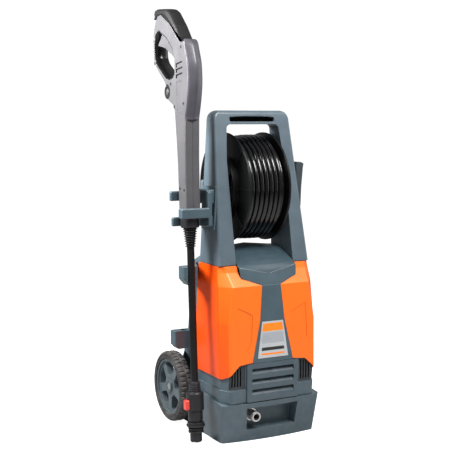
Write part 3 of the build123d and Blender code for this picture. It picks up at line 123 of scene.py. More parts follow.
def make_spark_grain():
    """The fine spark-eroded texture of a moulding, and a slow mottle of its colour."""
    group, given, result = new_group("spark_grain", [("Scale", "NodeSocketFloat", 1400.0)],
                                     [("Height", "NodeSocketFloat"), ("Mottle", "NodeSocketFloat")])
    where = place(group, "ShaderNodeTexCoord").outputs["Object"]
    fine = place(group, "ShaderNodeTexNoise", {"Vector": where, "Scale": given["Scale"], "Detail": 3.0,
                                               "Roughness": 0.6})
    wide = calc(group, "MULTIPLY", given["Scale"], 0.02)
    slow = place(group, "ShaderNodeTexNoise", {"Vector": where, "Scale": wide, "Detail": 4.0})
    group.links.new(fine.outputs["Fac"], result["Height"])
    group.links.new(ramp(group, slow.outputs["Fac"], 0.3, 0.7), result["Mottle"])
    return group


def make_handling_marks():
    """Faint rubbed streaks and fingerprints, as a mask."""
    group, given, result = new_group("handling_marks", [("Scale", "NodeSocketFloat", 40.0)],
                                     [("Mask", "NodeSocketFloat")])
    where = place(group, "ShaderNodeTexCoord").outputs["Object"]
    turned = place(group, "ShaderNodeMapping", {"Vector": where, "Rotation": (0.4, 0.9, 0.3),
                                                "Scale": (1.0, 1.0, 14.0)})
    streak = place(group, "ShaderNodeTexNoise", {"Vector": turned.outputs[0], "Scale": given["Scale"],
                                                 "Detail": 6.0, "Roughness": 0.7})
    patch = place(group, "ShaderNodeTexNoise", {"Vector": where, "Scale": 9.0, "Detail": 2.0})
    lines = ramp(group, streak.outputs["Fac"], 0.58, 0.72)
    patches = ramp(group, patch.outputs["Fac"], 0.45, 0.65)
    group.links.new(calc(group, "MULTIPLY", lines, patches), result["Mask"])
    return group


def make_settled_dust():
    """A light film on faces that look up, thicker near the ground."""
    group, given, result = new_group("settled_dust", [("Height", "NodeSocketFloat", 0.35)],
                                     [("Mask", "NodeSocketFloat")])
    where = place(group, "ShaderNodeTexCoord").outputs["Object"]
    up = place(group, "ShaderNodeSeparateXYZ", {0: place(group, "ShaderNodeNewGeometry").outputs["Normal"]})
    high = place(group, "ShaderNodeSeparateXYZ", {0: where})
    rise = calc(group, "DIVIDE", high.outputs["Z"], given["Height"])
    near_floor = calc(group, "SUBTRACT", 1.0, rise, clamp=True)
    cloud = place(group, "ShaderNodeTexNoise", {"Vector": where, "Scale": 60.0, "Detail": 5.0})
    facing = ramp(group, up.outputs["Z"], 0.2, 1.0)
    film = calc(group, "ADD", calc(group, "MULTIPLY", facing, 0.7), calc(group, "MULTIPLY", near_floor, 0.5))
    clouds = ramp(group, cloud.outputs["Fac"], 0.35, 0.75)
    group.links.new(calc(group, "MULTIPLY", film, clouds, clamp=True), result["Mask"])
    return group


def make_centre_seam():
    """A thin parting line in the plane x = Offset."""
    group, given, result = new_group("centre_seam", [("Offset", "NodeSocketFloat", 0.0),
                                                     ("Width", "NodeSocketFloat", 0.0004)],
                                     [("Mask", "NodeSocketFloat")])
    where = place(group, "ShaderNodeSeparateXYZ", {0: place(group, "ShaderNodeTexCoord").outputs["Object"]})
    away = calc(group, "ABSOLUTE", calc(group, "SUBTRACT", where.outputs["X"], given["Offset"]))
    group.links.new(calc(group, "LESS_THAN", away, given["Width"]), result["Mask"])
    return group


eased_edges = make_eased_edges()
spark_grain = make_spark_grain()
handling_marks = make_handling_marks()
settled_dust = make_settled_dust()
centre_seam = make_centre_seam()

DUST = (0.42, 0.40, 0.37, 1)


def start_material(name):
    material = bpy.data.materials.new(name)
    material.use_nodes = True
    tree = material.node_tree
    return material, tree, tree.nodes["Principled BSDF"]


def moulding(name, colour, roughness, edge=0.0015, grain=1400.0, depth=0.00004, edge_wear_and_highlight=0.25, dust=0.15,
             coat=0.0, seam_at=None, shine=0.5):
    """A moulded part: grain, slow mottle, paler edges (partly rubbing, partly a painted highlight), streaks
    and a little dust.
    """
    material, tree, shader = start_material(name)
    edges = use_group(tree, eased_edges, {"Radius": edge})
    skin = use_group(tree, spark_grain, {"Scale": grain})
    marks = use_group(tree, handling_marks, {"Scale": 40.0})
    film = use_group(tree, settled_dust, {"Height": 0.35})
    full = (*colour, 1)
    dark = tuple(c * 0.88 for c in colour) + (1,)
    pale = tuple(min(1.0, c * 1.25 + 0.04) for c in colour) + (1,)
    base = blend_colour(tree, skin["Mottle"], dark, full)
    # paler along the edges: partly rubbing, partly a painted highlight on the rims
    base = blend_colour(tree, calc(tree, "MULTIPLY", edges["Edge"], edge_wear_and_highlight), base, pale)
    base = blend_colour(tree, calc(tree, "MULTIPLY", marks["Mask"], 0.25), base, pale)
    base = blend_colour(tree, calc(tree, "MULTIPLY", film["Mask"], dust), base, DUST)
    if seam_at is not None:
        seam = use_group(tree, centre_seam, {"Offset": seam_at})
        base = blend_colour(tree, seam["Mask"], base, tuple(c * 0.2 for c in colour) + (1,))
    rough = calc(tree, "ADD", calc(tree, "MULTIPLY", skin["Mottle"], 0.08), roughness - 0.04)
    rough = calc(tree, "ADD", rough, calc(tree, "MULTIPLY", marks["Mask"], -0.12), clamp=True)
    bump = place(tree, "ShaderNodeBump", {"Height": skin["Height"], "Normal": edges["Normal"],
                                          "Distance": depth, "Strength": 0.6})
    tree.links.new(base, shader.inputs["Base Color"])
    tree.links.new(rough, shader.inputs["Roughness"])
    tree.links.new(bump.outputs[0], shader.inputs["Normal"])
    shader.inputs["Coat Weight"].default_value = coat
    shader.inputs["Coat Roughness"].default_value = 0.12
    shader.inputs["Specular IOR Level"].default_value = shine
    return material


def orange_panel_painted_light():
    """The orange of the side panels, with painted light: a little paler on the faces that look forward and
    up.
    """
    material = moulding("signal_orange", (0.98, 0.082, 0.002), 0.34, edge=0.0022, depth=0.00002, edge_wear_and_highlight=0.10,
                        dust=0.0, coat=0.05, shine=0.25)
    tree = material.node_tree
    shader = tree.nodes["Principled BSDF"]
    side = shader.inputs["Base Color"].links[0].from_socket
    normal = place(tree, "ShaderNodeNewGeometry").outputs["Normal"]
    facing = place(tree, "ShaderNodeSeparateXYZ", {0: normal})
    forward = ramp(tree, calc(tree, "MULTIPLY", facing.outputs["Y"], -1.0), 0.35, 0.95)
    upward_painted_light = ramp(tree, facing.outputs["Z"], 0.15, 0.75)
    # painted light: faces that look forward get a paler orange, and faces that look up a paler one still, as
    # if the lamps fell more on them
    base = blend_colour(tree, calc(tree, "MULTIPLY", forward, 0.85), side, (1.0, 0.185, 0.018, 1))
    base = blend_colour(tree, calc(tree, "MULTIPLY", upward_painted_light, 0.55), base, (1.0, 0.30, 0.085, 1))
    tree.links.new(base, shader.inputs["Base Color"])
    return material


def metal(name, colour, roughness, brushed=0.0, edge=0.0006):
    """Turned, plated or cast metal with faint tool lines."""
    material, tree, shader = start_material(name)
    edges = use_group(tree, eased_edges, {"Radius": edge})
    skin = use_group(tree, spark_grain, {"Scale": 900.0})
    where = place(tree, "ShaderNodeTexCoord").outputs["Object"]
    turning = {"Vector": where, "Scale": 900.0, "Distortion": 1.5, "Detail": 2.0}
    lines = place(tree, "ShaderNodeTexWave", turning, bands_direction="Y")
    full = (*colour, 1)
    base = blend_colour(tree, skin["Mottle"], tuple(c * 0.82 for c in colour) + (1,), full)
    rough = calc(tree, "ADD", calc(tree, "MULTIPLY", skin["Mottle"], 0.12), roughness - 0.06, clamp=True)
    height = calc(tree, "ADD", calc(tree, "MULTIPLY", lines.outputs["Fac"], brushed), skin["Height"])
    bump = place(tree, "ShaderNodeBump", {"Height": height, "Normal": edges["Normal"], "Distance": 0.00003,
                                          "Strength": 0.5})
    shader.inputs["Metallic"].default_value = 1.0
    tree.links.new(base, shader.inputs["Base Color"])
    tree.links.new(rough, shader.inputs["Roughness"])
    tree.links.new(bump.outputs[0], shader.inputs["Normal"])
    return material


PLATE_FOOT_HALF = 0.045       # half the width of the name plate at its foot
PLATE_TAPER = 0.014           # how much of that is gone at its top


def label_plate():
    """A plain name plate: silver border, orange bands, a grey field and a dark bar, with no lettering."""
    material = moulding("plate_print", (0.50, 0.52, 0.54), 0.30, edge=0.0005, depth=0.00001, dust=0.0)
    tree = material.node_tree
    shader = tree.nodes["Principled BSDF"]
    where = place(tree, "ShaderNodeSeparateXYZ", {0: place(tree, "ShaderNodeTexCoord").outputs["Object"]})
    low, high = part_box("name_plate")
    tall = high.z - low.z
    share = calc(tree, "DIVIDE", calc(tree, "SUBTRACT", where.outputs["Z"], low.z), tall)
    half = calc(tree, "SUBTRACT", PLATE_FOOT_HALF, calc(tree, "MULTIPLY", share, PLATE_TAPER))
    across = calc(tree, "DIVIDE", calc(tree, "ABSOLUTE", where.outputs["X"]), half)

    def between(value, first, last):
        above, below = calc(tree, "GREATER_THAN", value, first), calc(tree, "LESS_THAN", value, last)
        return calc(tree, "MULTIPLY", above, below)

    base = shader.inputs["Base Color"].links[0].from_socket
    inside = calc(tree, "LESS_THAN", across, 0.90)
    band = calc(tree, "MULTIPLY", between(share, 0.73, 0.95), inside)
    field = calc(tree, "MULTIPLY", between(share, 0.40, 0.70), calc(tree, "LESS_THAN", across, 0.86))
    bar = calc(tree, "MULTIPLY", between(share, 0.20, 0.29), calc(tree, "LESS_THAN", across, 0.80))
    foot = calc(tree, "MULTIPLY", between(share, 0.08, 0.13), calc(tree, "LESS_THAN", across, 0.80))
    base = blend_colour(tree, band, base, (0.95, 0.24, 0.01, 1))
    base = blend_colour(tree, field, base, (0.36, 0.38, 0.41, 1))
    base = blend_colour(tree, bar, base, (0.02, 0.02, 0.02, 1))
    base = blend_colour(tree, foot, base, (0.95, 0.24, 0.01, 1))
    tree.links.new(base, shader.inputs["Base Color"])
    return material


# the stronger pale edges of the housing and tower greys are partly a painted edge highlight
housing_grey = moulding("housing_grey", (0.062, 0.098, 0.120), 0.40, edge=0.0022, coat=0.10, edge_wear_and_highlight=0.45)
hood_grey = moulding("hood_grey", (0.040, 0.070, 0.088), 0.42, edge=0.0060, edge_wear_and_highlight=0.30, dust=0.05)
frame_grey = moulding("frame_grey", (0.090, 0.124, 0.150), 0.38, edge=0.0030, coat=0.15, edge_wear_and_highlight=0.35)
louvre_grey = moulding("louvre_grey", (0.060, 0.090, 0.110), 0.42)
vent_grey = moulding("vent_grey", (0.020, 0.027, 0.031), 0.5, edge=0.0008)
signal_orange = orange_panel_painted_light()
reel_black = moulding("reel_black", (0.004, 0.004, 0.004), 0.36, edge_wear_and_highlight=0.05, dust=0.0, shine=0.3)
crank_black = moulding("crank_black", (0.040, 0.052, 0.060), 0.42, edge=0.003)
gun_grey = moulding("gun_grey", (0.088, 0.086, 0.092), 0.40, edge=0.0035, coat=0.15, dust=0.0)
fairing_grey = moulding("fairing_grey", (0.066, 0.062, 0.076), 0.40, edge=0.002, coat=0.10, dust=0.0,
                        seam_at=gun_middle_x)
# glossy black for the inside of the finger loop: painted shade
loop_shade_black = moulding("loop_shade_black", (0.003, 0.003, 0.003), 0.26, edge=0.0008, depth=0.00001, edge_wear_and_highlight=0.0,
                        dust=0.0, coat=0.2, shine=0.4)
cap_grey = moulding("cap_grey", (0.045, 0.045, 0.047), 0.40, edge=0.001, dust=0.0)
# black that stands for shade: painted shade in the trigger gap, the gun's vents, its screw wells and the
# handle slot
painted_shade_black = moulding("painted_shade_black", (0.003, 0.003, 0.003), 0.8, edge=0.0005, edge_wear_and_highlight=0.0, dust=0.0)
grip_rubber_skin = moulding("grip_rubber_skin", (0.006, 0.006, 0.006), 0.55, edge=0.003, grain=900.0,
                            depth=0.0001, edge_wear_and_highlight=0.05, dust=0.0, shine=0.3)
lance_black = moulding("lance_black", (0.005, 0.005, 0.005), 0.40, edge=0.0008, edge_wear_and_highlight=0.05, dust=0.0,
                       shine=0.3)
fitting_black = moulding("fitting_black", (0.016, 0.015, 0.018), 0.42, edge=0.0012, edge_wear_and_highlight=0.2, dust=0.0,
                         shine=0.35)
hose_black = moulding("hose_black", (0.002, 0.002, 0.0025), 0.20, edge=0.0004, grain=300.0, depth=0.00002,
                      edge_wear_and_highlight=0.0, dust=0.0, coat=0.5, shine=0.3)
tyre_rubber = moulding("tyre_rubber", (0.030, 0.028, 0.028), 0.72, edge=0.0008, grain=700.0, depth=0.00012,
                       edge_wear_and_highlight=0.5, dust=0.35)
rim_grey = moulding("rim_grey", (0.075, 0.108, 0.125), 0.45, edge=0.002, edge_wear_and_highlight=0.5, dust=0.25)
foot_rubber = moulding("foot_rubber", (0.012, 0.012, 0.012), 0.8, grain=700.0, depth=0.0001)
latch_red = moulding("latch_red", (0.78, 0.045, 0.030), 0.32, edge=0.002, coat=0.2, dust=0.0)
plain_black = moulding("plain_black", (0.005, 0.005, 0.006), 0.5, edge_wear_and_highlight=0.1, dust=0.0, shine=0.3)
# pale for the hood's edge bead: a painted highlight
hood_highlight_pale = moulding("hood_highlight_pale", (0.22, 0.27, 0.30), 0.4, edge=0.0003, dust=0.0)
mark_white = moulding("mark_white", (0.75, 0.75, 0.73), 0.5, edge=0.0003, dust=0.0)
nickel = metal("nickel", (0.62, 0.62, 0.61), 0.38, brushed=0.5)
axle_steel = metal("axle_steel", (0.52, 0.53, 0.54), 0.34, brushed=1.0)
pump_brass = metal("pump_brass", (0.68, 0.48, 0.22), 0.32, brushed=0.5)
cast_alloy = metal("cast_alloy", (0.58, 0.59, 0.60), 0.5)
core_copper = metal("core_copper", (0.45, 0.22, 0.12), 0.45)

FINISHES = {
    "base_housing": housing_grey, "rubber_feet": foot_rubber, "inlet_nipple": nickel,
    "inlet_strainer": plain_black, "wheel_axle": axle_steel, "right_wheel_rim": rim_grey,
    "left_wheel_rim": rim_grey, "right_tyre": tyre_rubber, "left_tyre": tyre_rubber,
    "side_panel_right": signal_orange, "side_panel_left": signal_orange, "front_cover": housing_grey,
    "front_louvre": louvre_grey, "side_vents": vent_grey, "name_plate": label_plate(), "hood": hood_grey,
    "rear_cover": housing_grey, "switch_box": plain_black, "switch_knob": plain_black,
    "cable_gland": foot_rubber, "tower_front_shell": frame_grey, "tower_rear_shell": frame_grey,
    "reel_drum": reel_black, "reel_flanges": reel_black, "reel_shaft": axle_steel, "hose_coil": hose_black,
    "hose_fitting": nickel, "reel_bushes": plain_black, "crank_arm": crank_black, "crank_grip": crank_black,
    "gun_bracket": housing_grey, "lance_holders": housing_grey, "gun_shell_left": gun_grey,
    "gun_shell_right": gun_grey, "gun_fairing": fairing_grey, "grip_rubber": grip_rubber_skin,
    "trigger": gun_grey, "trigger_lock": latch_red, "regulator_dial": plain_black,
    "gun_fasteners": plain_black, "gun_valve": pump_brass, "gun_collar": fitting_black,
    "lance_boot": grip_rubber_skin, "lance_tube": lance_black, "lance_connector": fitting_black,
    "latch_button": latch_red, "nozzle_body": fitting_black, "nozzle_sleeve": fitting_black,
    "motor_mounts": foot_rubber, "pump_head": cast_alloy, "pistons": axle_steel, "pump_case": cast_alloy,
    "wobble_plate": axle_steel, "motor_bearings": axle_steel, "stator": core_copper, "rotor": axle_steel,
    "motor_housing": cast_alloy, "motor_electrics": plain_black, "pump_fittings": pump_brass,
    "pressure_line": pump_brass,
}
for name, finish in FINISHES.items():
    nodes[name].data.materials.clear()
    nodes[name].data.materials.append(finish)


# ---- mesh helpers ------------------------------------------------------------------------------
def finish_piece(name, bm, material, body, replaced=(), matrix=None, smooth=True):
    """Turns a bmesh into a piece that rides on a body, and hides the solids that it stands for."""
    if matrix is not None:
        bmesh.ops.transform(bm, matrix=matrix, verts=bm.verts)
    bmesh.ops.recalc_face_normals(bm, faces=bm.faces)
    mesh = bpy.data.meshes.new(name)
    bm.to_mesh(mesh)
    bm.free()
    mesh.materials.append(material)
    mesh.polygons.foreach_set("use_smooth", [smooth] * len(mesh.polygons))
    piece = bpy.data.objects.new(name, mesh)
    scene.collection.objects.link(piece)
    if replaced:
        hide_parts(*replaced)
    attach(piece, body)
    return piece


def skin_rings(bm, rings, closed=False):
    """Joins rings of equal length with quads."""
    count = len(rings[0])
    pairs = zip(rings, rings[1:] + rings[:1]) if closed else zip(rings, rings[1:])
    for first, second in pairs:
        for i in range(count):
            j = (i + 1) % count
            bm.faces.new((first[i], first[j], second[j], second[i]))


def close_rings(bm, rings):
    """Joins rings with quads and closes both ends."""
    skin_rings(bm, rings)
    bm.faces.new(rings[0])
    bm.faces.new(rings[-1])


def round_steps(count):
    """The cosine and sine of each of count equal steps round a circle."""
    return [(cos(2 * pi * k / count), sin(2 * pi * k / count)) for k in range(count)]


def tube_along(bm, points, radius, sides, up=Vector((1, 0, 0))):
    """A round tube through the points, with its ends closed."""
    rings = []
    for i, point in enumerate(points):
        ahead = points[min(i + 1, len(points) - 1)] - points[max(i - 1, 0)]
        out = ahead.cross(up).normalized()
        over = out.cross(ahead).normalized()
        rings.append([bm.verts.new(point + radius * (c * out + s * over)) for c, s in round_steps(sides)])
    close_rings(bm, rings)


def turned_about_x(bm, profile, steps, centre, dent):
    """A closed profile of (x, radius) turned about an axis along X; dent tells how deep each point is cut."""
    rings = []
    for step in range(steps):
        angle = 2 * pi * step / steps
        ring = []
        for number, (x, radius) in enumerate(profile):
            r = radius - dent(step, number)
            ring.append(bm.verts.new((x, centre.y + r * cos(angle), centre.z + r * sin(angle))))
        rings.append(ring)
    skin_rings(bm, rings, closed=True)


def turned_about_z(bm, profile, steps):
    """A closed profile of (radius, z) turned about the Z axis."""
    rings = [[bm.verts.new((r * c, r * s, z)) for r, z in profile] for c, s in round_steps(steps)]
    skin_rings(bm, rings, closed=True)


def solid_block(bm, low, high, ease=0.0):
    """A block between two corners, its edges eased by so much."""
    made = bmesh.ops.create_cube(bm, size=1.0)["verts"]
    for vert in made:
        vert.co = Vector([low[i] + (vert.co[i] + 0.5) * (high[i] - low[i]) for i in range(3)])
    if ease:
        edges = [edge for edge in bm.edges if edge.verts[0] in made]
        bmesh.ops.bevel(bm, geom=edges, offset=ease, segments=2, affect="EDGES")


def rounded_line(points, pieces):
    """A smooth line through the points, with as many pieces between each pair."""
    spots = [Vector(point) for point in points]
    fine = []
    for i in range(len(spots) - 1):
        before, start = spots[max(i - 1, 0)], spots[i]
        end, after = spots[i + 1], spots[min(i + 2, len(spots) - 1)]
        for k in range(pieces):
            t = k / pieces
            fine.append(0.5 * (2 * start + (end - before) * t
                               + (2 * before - 5 * start + 4 * end - after) * t * t
                               + (3 * start - before - 3 * end + after) * t * t * t))
    return fine + [spots[-1]]


def turned_inward(along, spot, middle):
    """The direction across a flat line, on the side of the middle."""
    inward = Vector((-along.y, along.x))
    return inward if inward.dot(middle - spot) >= 0 else -inward


# ---- the wound hose ----------------------------------------------------------------------------
HOSE_RADIUS = 0.00625
LAYER_PITCH = 0.012
TURNS = 8
CROSSING = (radians(30), radians(85))    # where each turn steps over to the next place along the drum
SLACK_DROP = 0.0075                      # how far the loose turns at the left end lie below the others
WANDER = 0.0011                          # how far a turn strays along the drum
DIP = 0.0007                             # how far it sinks between the turns below
FLANGE_GAP = 0.0006                      # both ends of the drum together
RIM_GAP = 0.0005


def wound_layer(bm, layer, steps_per_turn, sides, side_sign):
    """One layer of turns, counted from the outside; slack turns lie lower and each turn wanders a little."""
    low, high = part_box("hose_coil")
    radius = (high.z - low.z) / 2 - HOSE_RADIUS - layer * LAYER_PITCH - RIM_GAP
    room = high.x - low.x - 2 * HOSE_RADIUS - FLANGE_GAP
    pitch = room / (TURNS - 1)
    middle = (low.x + high.x) / 2
    points = []
    total = TURNS * steps_per_turn
    for step in range(total + 1):
        turn, angle = divmod(step / steps_per_turn * 2 * pi, 2 * pi)
        over = min(1.0, max(0.0, (angle - CROSSING[0]) / (CROSSING[1] - CROSSING[0])))
        over = over * over * (3 - 2 * over)
        place_along = min(TURNS - 1, turn + over) if turn < TURNS else TURNS - 1
        x = middle + side_sign * (room / 2 - pitch * place_along)
        drift = Vector((step * 0.021, layer * 5.0, 0.0))
        x += WANDER * noise.noise(drift) if 0.3 < place_along < TURNS - 1.3 else 0.0
        r = radius - DIP * abs(noise.noise(drift + Vector((0, 0, 9))))
        slack = min(1.0, max(0.0, (middle + 0.012 - x) / 0.055)) * (0.75 + 0.25 * sin(angle + 1.0))
        r -= SLACK_DROP * slack * slack * (1 - 0.28 * layer)
        points.append(Vector((x, reel_centre.y + r * cos(angle), reel_centre.z + r * sin(angle))))
    tube_along(bm, points, HOSE_RADIUS, sides)


def wind_hose():
    """Three layers of hose on the drum, each coarser than the one outside it."""
    bm = bmesh.new()
    wound_layer(bm, 0, 96, 14, 1)
    wound_layer(bm, 1, 64, 10, -1)
    wound_layer(bm, 2, 40, 8, 1)
    return finish_piece("wound_hose", bm, hose_black, "reel", ["hose_coil"])


# ---- tyres -------------------------------------------------------------------------------------
LUGS = 44
STEPS_PER_LUG = 6
GROOVE_DEPTH = 0.0022
TYRE_SECTION = 0.019          # from the bead to the tread


def mould_tyre(side, node):
    """A solid tyre with grooves across both shoulders, staggered by half a lug."""
    low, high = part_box(node)
    outer = (high.z - low.z) / 2
    inner_x, width = min(abs(low.x), abs(high.x)), high.x - low.x
    inner = outer - TYRE_SECTION
    profile = [(0.0, inner), (0.0, inner + 0.006), (0.0012, inner + 0.0066), (0.0012, inner + 0.0080),
               (0.0, inner + 0.0086), (0.0, outer - 0.0062), (0.0016, outer - 0.0036),
               (0.0042, outer - 0.0012), (0.0085, outer), (0.0145, outer), (0.0158, outer - 0.0024)]
    profile = profile + [(width - x, r) for x, r in reversed(profile)]
    tread_left = {6, 7, 8, 9}
    tread_right = {len(profile) - 1 - k for k in tread_left}

    def dent(step, number):
        if number in tread_left and step % STEPS_PER_LUG in (0, 1):
            return GROOVE_DEPTH
        if number in tread_right and (step + STEPS_PER_LUG // 2) % STEPS_PER_LUG in (0, 1):
            return GROOVE_DEPTH
        return 0.0

    profile = [(side * (inner_x + x), r) for x, r in profile]
    bm = bmesh.new()
    turned_about_x(bm, profile, LUGS * STEPS_PER_LUG, wheel_axis, dent)
    body = "right_wheel" if side > 0 else "left_wheel"
    return finish_piece(node + "_tread", bm, tyre_rubber, body, [node], smooth=False)


# ---- the gun: grip, front, loop, trim and lance boot -------------------------------------------
# Drawn upright about the lance, as (x, place from front to back, height); gun_frame then tilts them.
GRIP_HALF = 0.0195
CROWNED_STRETCHES = range(1, 10)    # the stretches of the outline that the hand lies on
GRIP_OUTLINE = [
    (-0.0250, 1.0224), (-0.0195, 1.0275), (-0.0120, 1.0340), (0.015, 1.069), (0.053, 1.108), (0.068, 1.116),
    (0.100, 1.121), (0.130, 1.125), (0.141, 1.1235), (0.148, 1.113), (0.143, 1.098), (0.131, 1.0968),
    (0.1185, 1.106), (0.101, 1.107), (0.042, 1.072), (0.004, 1.036), (-0.016, 1.0216)]


def pad_grip():
    """The soft over-moulding along the top of the grip, crowned across its width."""
    bm = bmesh.new()
    half_stations = [(0.25, 0.0), (0.55, 0.0006), (0.78, 0.0022), (0.90, 0.0042), (0.97, 0.0062),
                     (1.0, 0.0085)]
    stations = [(-share, inset) for share, inset in reversed(half_stations)] + half_stations
    centre = Vector((sum(u for u, _ in GRIP_OUTLINE), sum(h for _, h in GRIP_OUTLINE))) / len(GRIP_OUTLINE)
    fine, crowned = [], []
    stretches = zip(GRIP_OUTLINE, GRIP_OUTLINE[1:] + GRIP_OUTLINE[:1])
    for number, ((u0, h0), (u1, h1)) in enumerate(stretches):
        pieces = max(1, round(Vector((u1 - u0, h1 - h0)).length / 0.006))
        fine += [Vector((u0 + (u1 - u0) * k / pieces, h0 + (h1 - h0) * k / pieces)) for k in range(pieces)]
        crowned += [1.0 if number in CROWNED_STRETCHES else 0.12] * pieces
    count = len(fine)
    rings = []
    for share, inset in stations:
        ring = []
        for i in range(count):
            along = (fine[(i + 1) % count] - fine[i - 1]).normalized()
            spot = fine[i] + turned_inward(along, fine[i], centre) * inset * crowned[i]
            ring.append(bm.verts.new((share * GRIP_HALF, spot.x, spot.y)))
        rings.append(ring)
    close_rings(bm, rings)
    return finish_piece("soft_grip", bm, grip_rubber_skin, "gun", ["grip_rubber"], gun_frame)


FAIRING_HALF = 0.0205
FAIRING_CROWN = 0.0095
FAIRING_SIDE = 0.0028      # depth of its side faces
FAIRING_BACK_HALF = 0.0175
FAIRING_EDGE_SPOTS = [     # height, place of the side edge, share of the width, share of the crown
    (0.8245, -0.0318, 0.90, 0.80), (0.8270, -0.0326, 0.96, 0.90), (0.8350, -0.0334, 1.0, 1.0),
    (0.8650, -0.0440, 1.0, 1.0), (0.9050, -0.0540, 1.0, 1.0), (0.9350, -0.0560, 1.0, 1.0),
    (0.9660, -0.0540, 1.0, 1.0), (0.9980, -0.0440, 1.0, 0.98), (1.0120, -0.0400, 0.99, 0.86),
    (1.0200, -0.0375, 0.94, 0.62), (1.0245, -0.0362, 0.84, 0.38), (1.0265, -0.0352, 0.66, 0.16)]


def crown_fairing():
    """The dark front of the gun: two faces that meet in a soft ridge, with a rounded top."""
    bm = bmesh.new()
    across = [-1.0, -0.985, -0.95, -0.88, -0.75, -0.6, -0.45, -0.3, -0.15, -0.05, 0.0]
    across += [-t for t in reversed(across[:-1])]
    rings = []
    for height, edge, wide, crown in rounded_line(FAIRING_EDGE_SPOTS, 5):
        front = [(t * FAIRING_HALF * wide, edge - FAIRING_CROWN * crown * (1 - abs(t) ** 1.35)
                  + 0.0016 * max(0.0, abs(t) - 0.88) / 0.12) for t in across]
        behind = (FAIRING_HALF, FAIRING_BACK_HALF, -FAIRING_BACK_HALF, -FAIRING_HALF)
        back = [(x * wide, edge + FAIRING_SIDE) for x in behind]
        rings.append([bm.verts.new((x, u, height)) for x, u in front + back])
    close_rings(bm, rings)
    return finish_piece("gun_front_crown", bm, fairing_grey, "gun", ["gun_fairing"], gun_frame)


LOOP_MIDDLE = Vector((0.085, 1.000))
LOOP_LINE = [(0.1150, 1.0668), (0.1280, 1.0615), (0.1370, 1.0540), (0.1425, 1.0430), (0.1458, 1.0300),
             (0.1468, 1.0150), (0.1458, 1.0000), (0.1405, 0.9895), (0.1315, 0.9795), (0.1060, 0.9605),
             (0.0800, 0.9410), (0.0690, 0.9362), (0.0570, 0.9342), (0.0450, 0.9352), (0.0350, 0.9380)]
TRIGGER_EDGE = [(0.0232, 0.9850), (0.0260, 0.9950), (0.0345, 1.0096), (0.0500, 1.0250), (0.0672, 1.0407),
                (0.0850, 1.0500), (0.1050, 1.0602)]
LOOP_SHADE_THICKNESS = 0.0022


def band_in_loop(bm, points, section):
    """Sweeps a section of (x, depth into the loop) along a line on the loop's inside."""
    line = rounded_line(points, 4)
    rings = []
    for i, spot in enumerate(line):
        ahead = (line[min(i + 1, len(line) - 1)] - line[max(i - 1, 0)]).normalized()
        inward = turned_inward(ahead, spot, LOOP_MIDDLE)
        rings.append([bm.verts.new((x, *(spot + inward * deep))) for x, deep in section])
    close_rings(bm, rings)


def paint_loop_shade():
    """A glossy black band on the inside of the finger loop: painted shade where the loop's inside lies in
    shadow.
    """
    bm = bmesh.new()
    reach = LOOP_SHADE_THICKNESS - 0.0010
    section = [(-0.0197, -0.0016), (-0.0197, reach), (-0.0190, LOOP_SHADE_THICKNESS), (0.0190, LOOP_SHADE_THICKNESS),
               (0.0197, reach), (0.0197, -0.0016)]
    band_in_loop(bm, LOOP_LINE, section)
    return finish_piece("loop_painted_shade", bm, loop_shade_black, "gun", (), gun_frame)


def shade_beside_trigger():
    """Painted shade in the gap between the shell's edge and the trigger, on both sides of it."""
    bm = bmesh.new()
    section = [(0.0195, -0.0006), (0.0195, 0.0009), (0.0128, 0.0009), (0.0128, -0.0006)]
    for side in (-1, 1):
        band_in_loop(bm, TRIGGER_EDGE, [(side * x, deep) for x, deep in section])
    return finish_piece("trigger_edge_shade", bm, painted_shade_black, "gun", (), gun_frame)


def shade_gun_vents():
    """Black sheets behind the three vents in each side of the gun: painted shade inside the vents."""
    bm = bmesh.new()
    for side in (-1, 1):
        low_x, high_x = sorted((side * 0.0166, side * 0.0172))
        solid_block(bm, (low_x, -0.026, 0.929), (high_x, 0.017, 0.976))
    return finish_piece("gun_vent_shade", bm, painted_shade_black, "gun", (), gun_frame, smooth=False)


SCREW_PLACES = [(-0.019, 1.008), (0.145, 0.984), (0.049, 0.922), (-0.024, 0.866), (0.031, 0.862),
                (0.011, 0.653), (-0.014, 0.649)]


def shade_screw_wells():
    """Dark rings round the sunk screws in the left shell: painted shade in their wells."""
    bm = bmesh.new()
    rim = ((0.0040, -0.0198), (0.0040, -0.02012), (0.0022, -0.02012), (0.0022, -0.0196))
    for u, h in SCREW_PLACES:
        rings = [[bm.verts.new((x, u + radius * c, h + radius * s)) for c, s in round_steps(24)]
                 for radius, x in rim]
        skin_rings(bm, rings, closed=True)
    return finish_piece("screw_well_shade", bm, painted_shade_black, "gun", (), gun_frame, smooth=False)


RIDGES = 14
RIDGE_PITCH = 0.0085


def ridge_barrel():
    """Fine grip ridges down the back of the barrel, and the raised line where the barrel meets the body."""
    bm = bmesh.new()
    for i in range(RIDGES):
        height = 0.690 + RIDGE_PITCH * i
        back = 0.0200 + 0.0125 * (height - 0.650) + (0.0012 if height > 0.730 else 0.0)
        solid_block(bm, (-0.0150, back - 0.0012, height), (0.0150, back + 0.0016, height + 0.0042), 0.0007)
    for side in (-1, 1):
        low_x, high_x = sorted((side * 0.0196, side * 0.02015))
        for start, end in (((-0.0330, 0.8330), (0.0020, 0.8460)), ((0.0020, 0.8460), (0.0270, 0.8600))):
            start, end = Vector(start), Vector(end)
            across = Vector((-(end - start).y, (end - start).x)).normalized() * 0.0005
            corners = [start - across, end - across, end + across, start + across]
            close_rings(bm, [[bm.verts.new((x, *corner)) for corner in corners] for x in (low_x, high_x)])
    return finish_piece("barrel_ridges", bm, gun_grey, "gun", (), gun_frame, smooth=False)


CAP_RADIUS = 0.0085


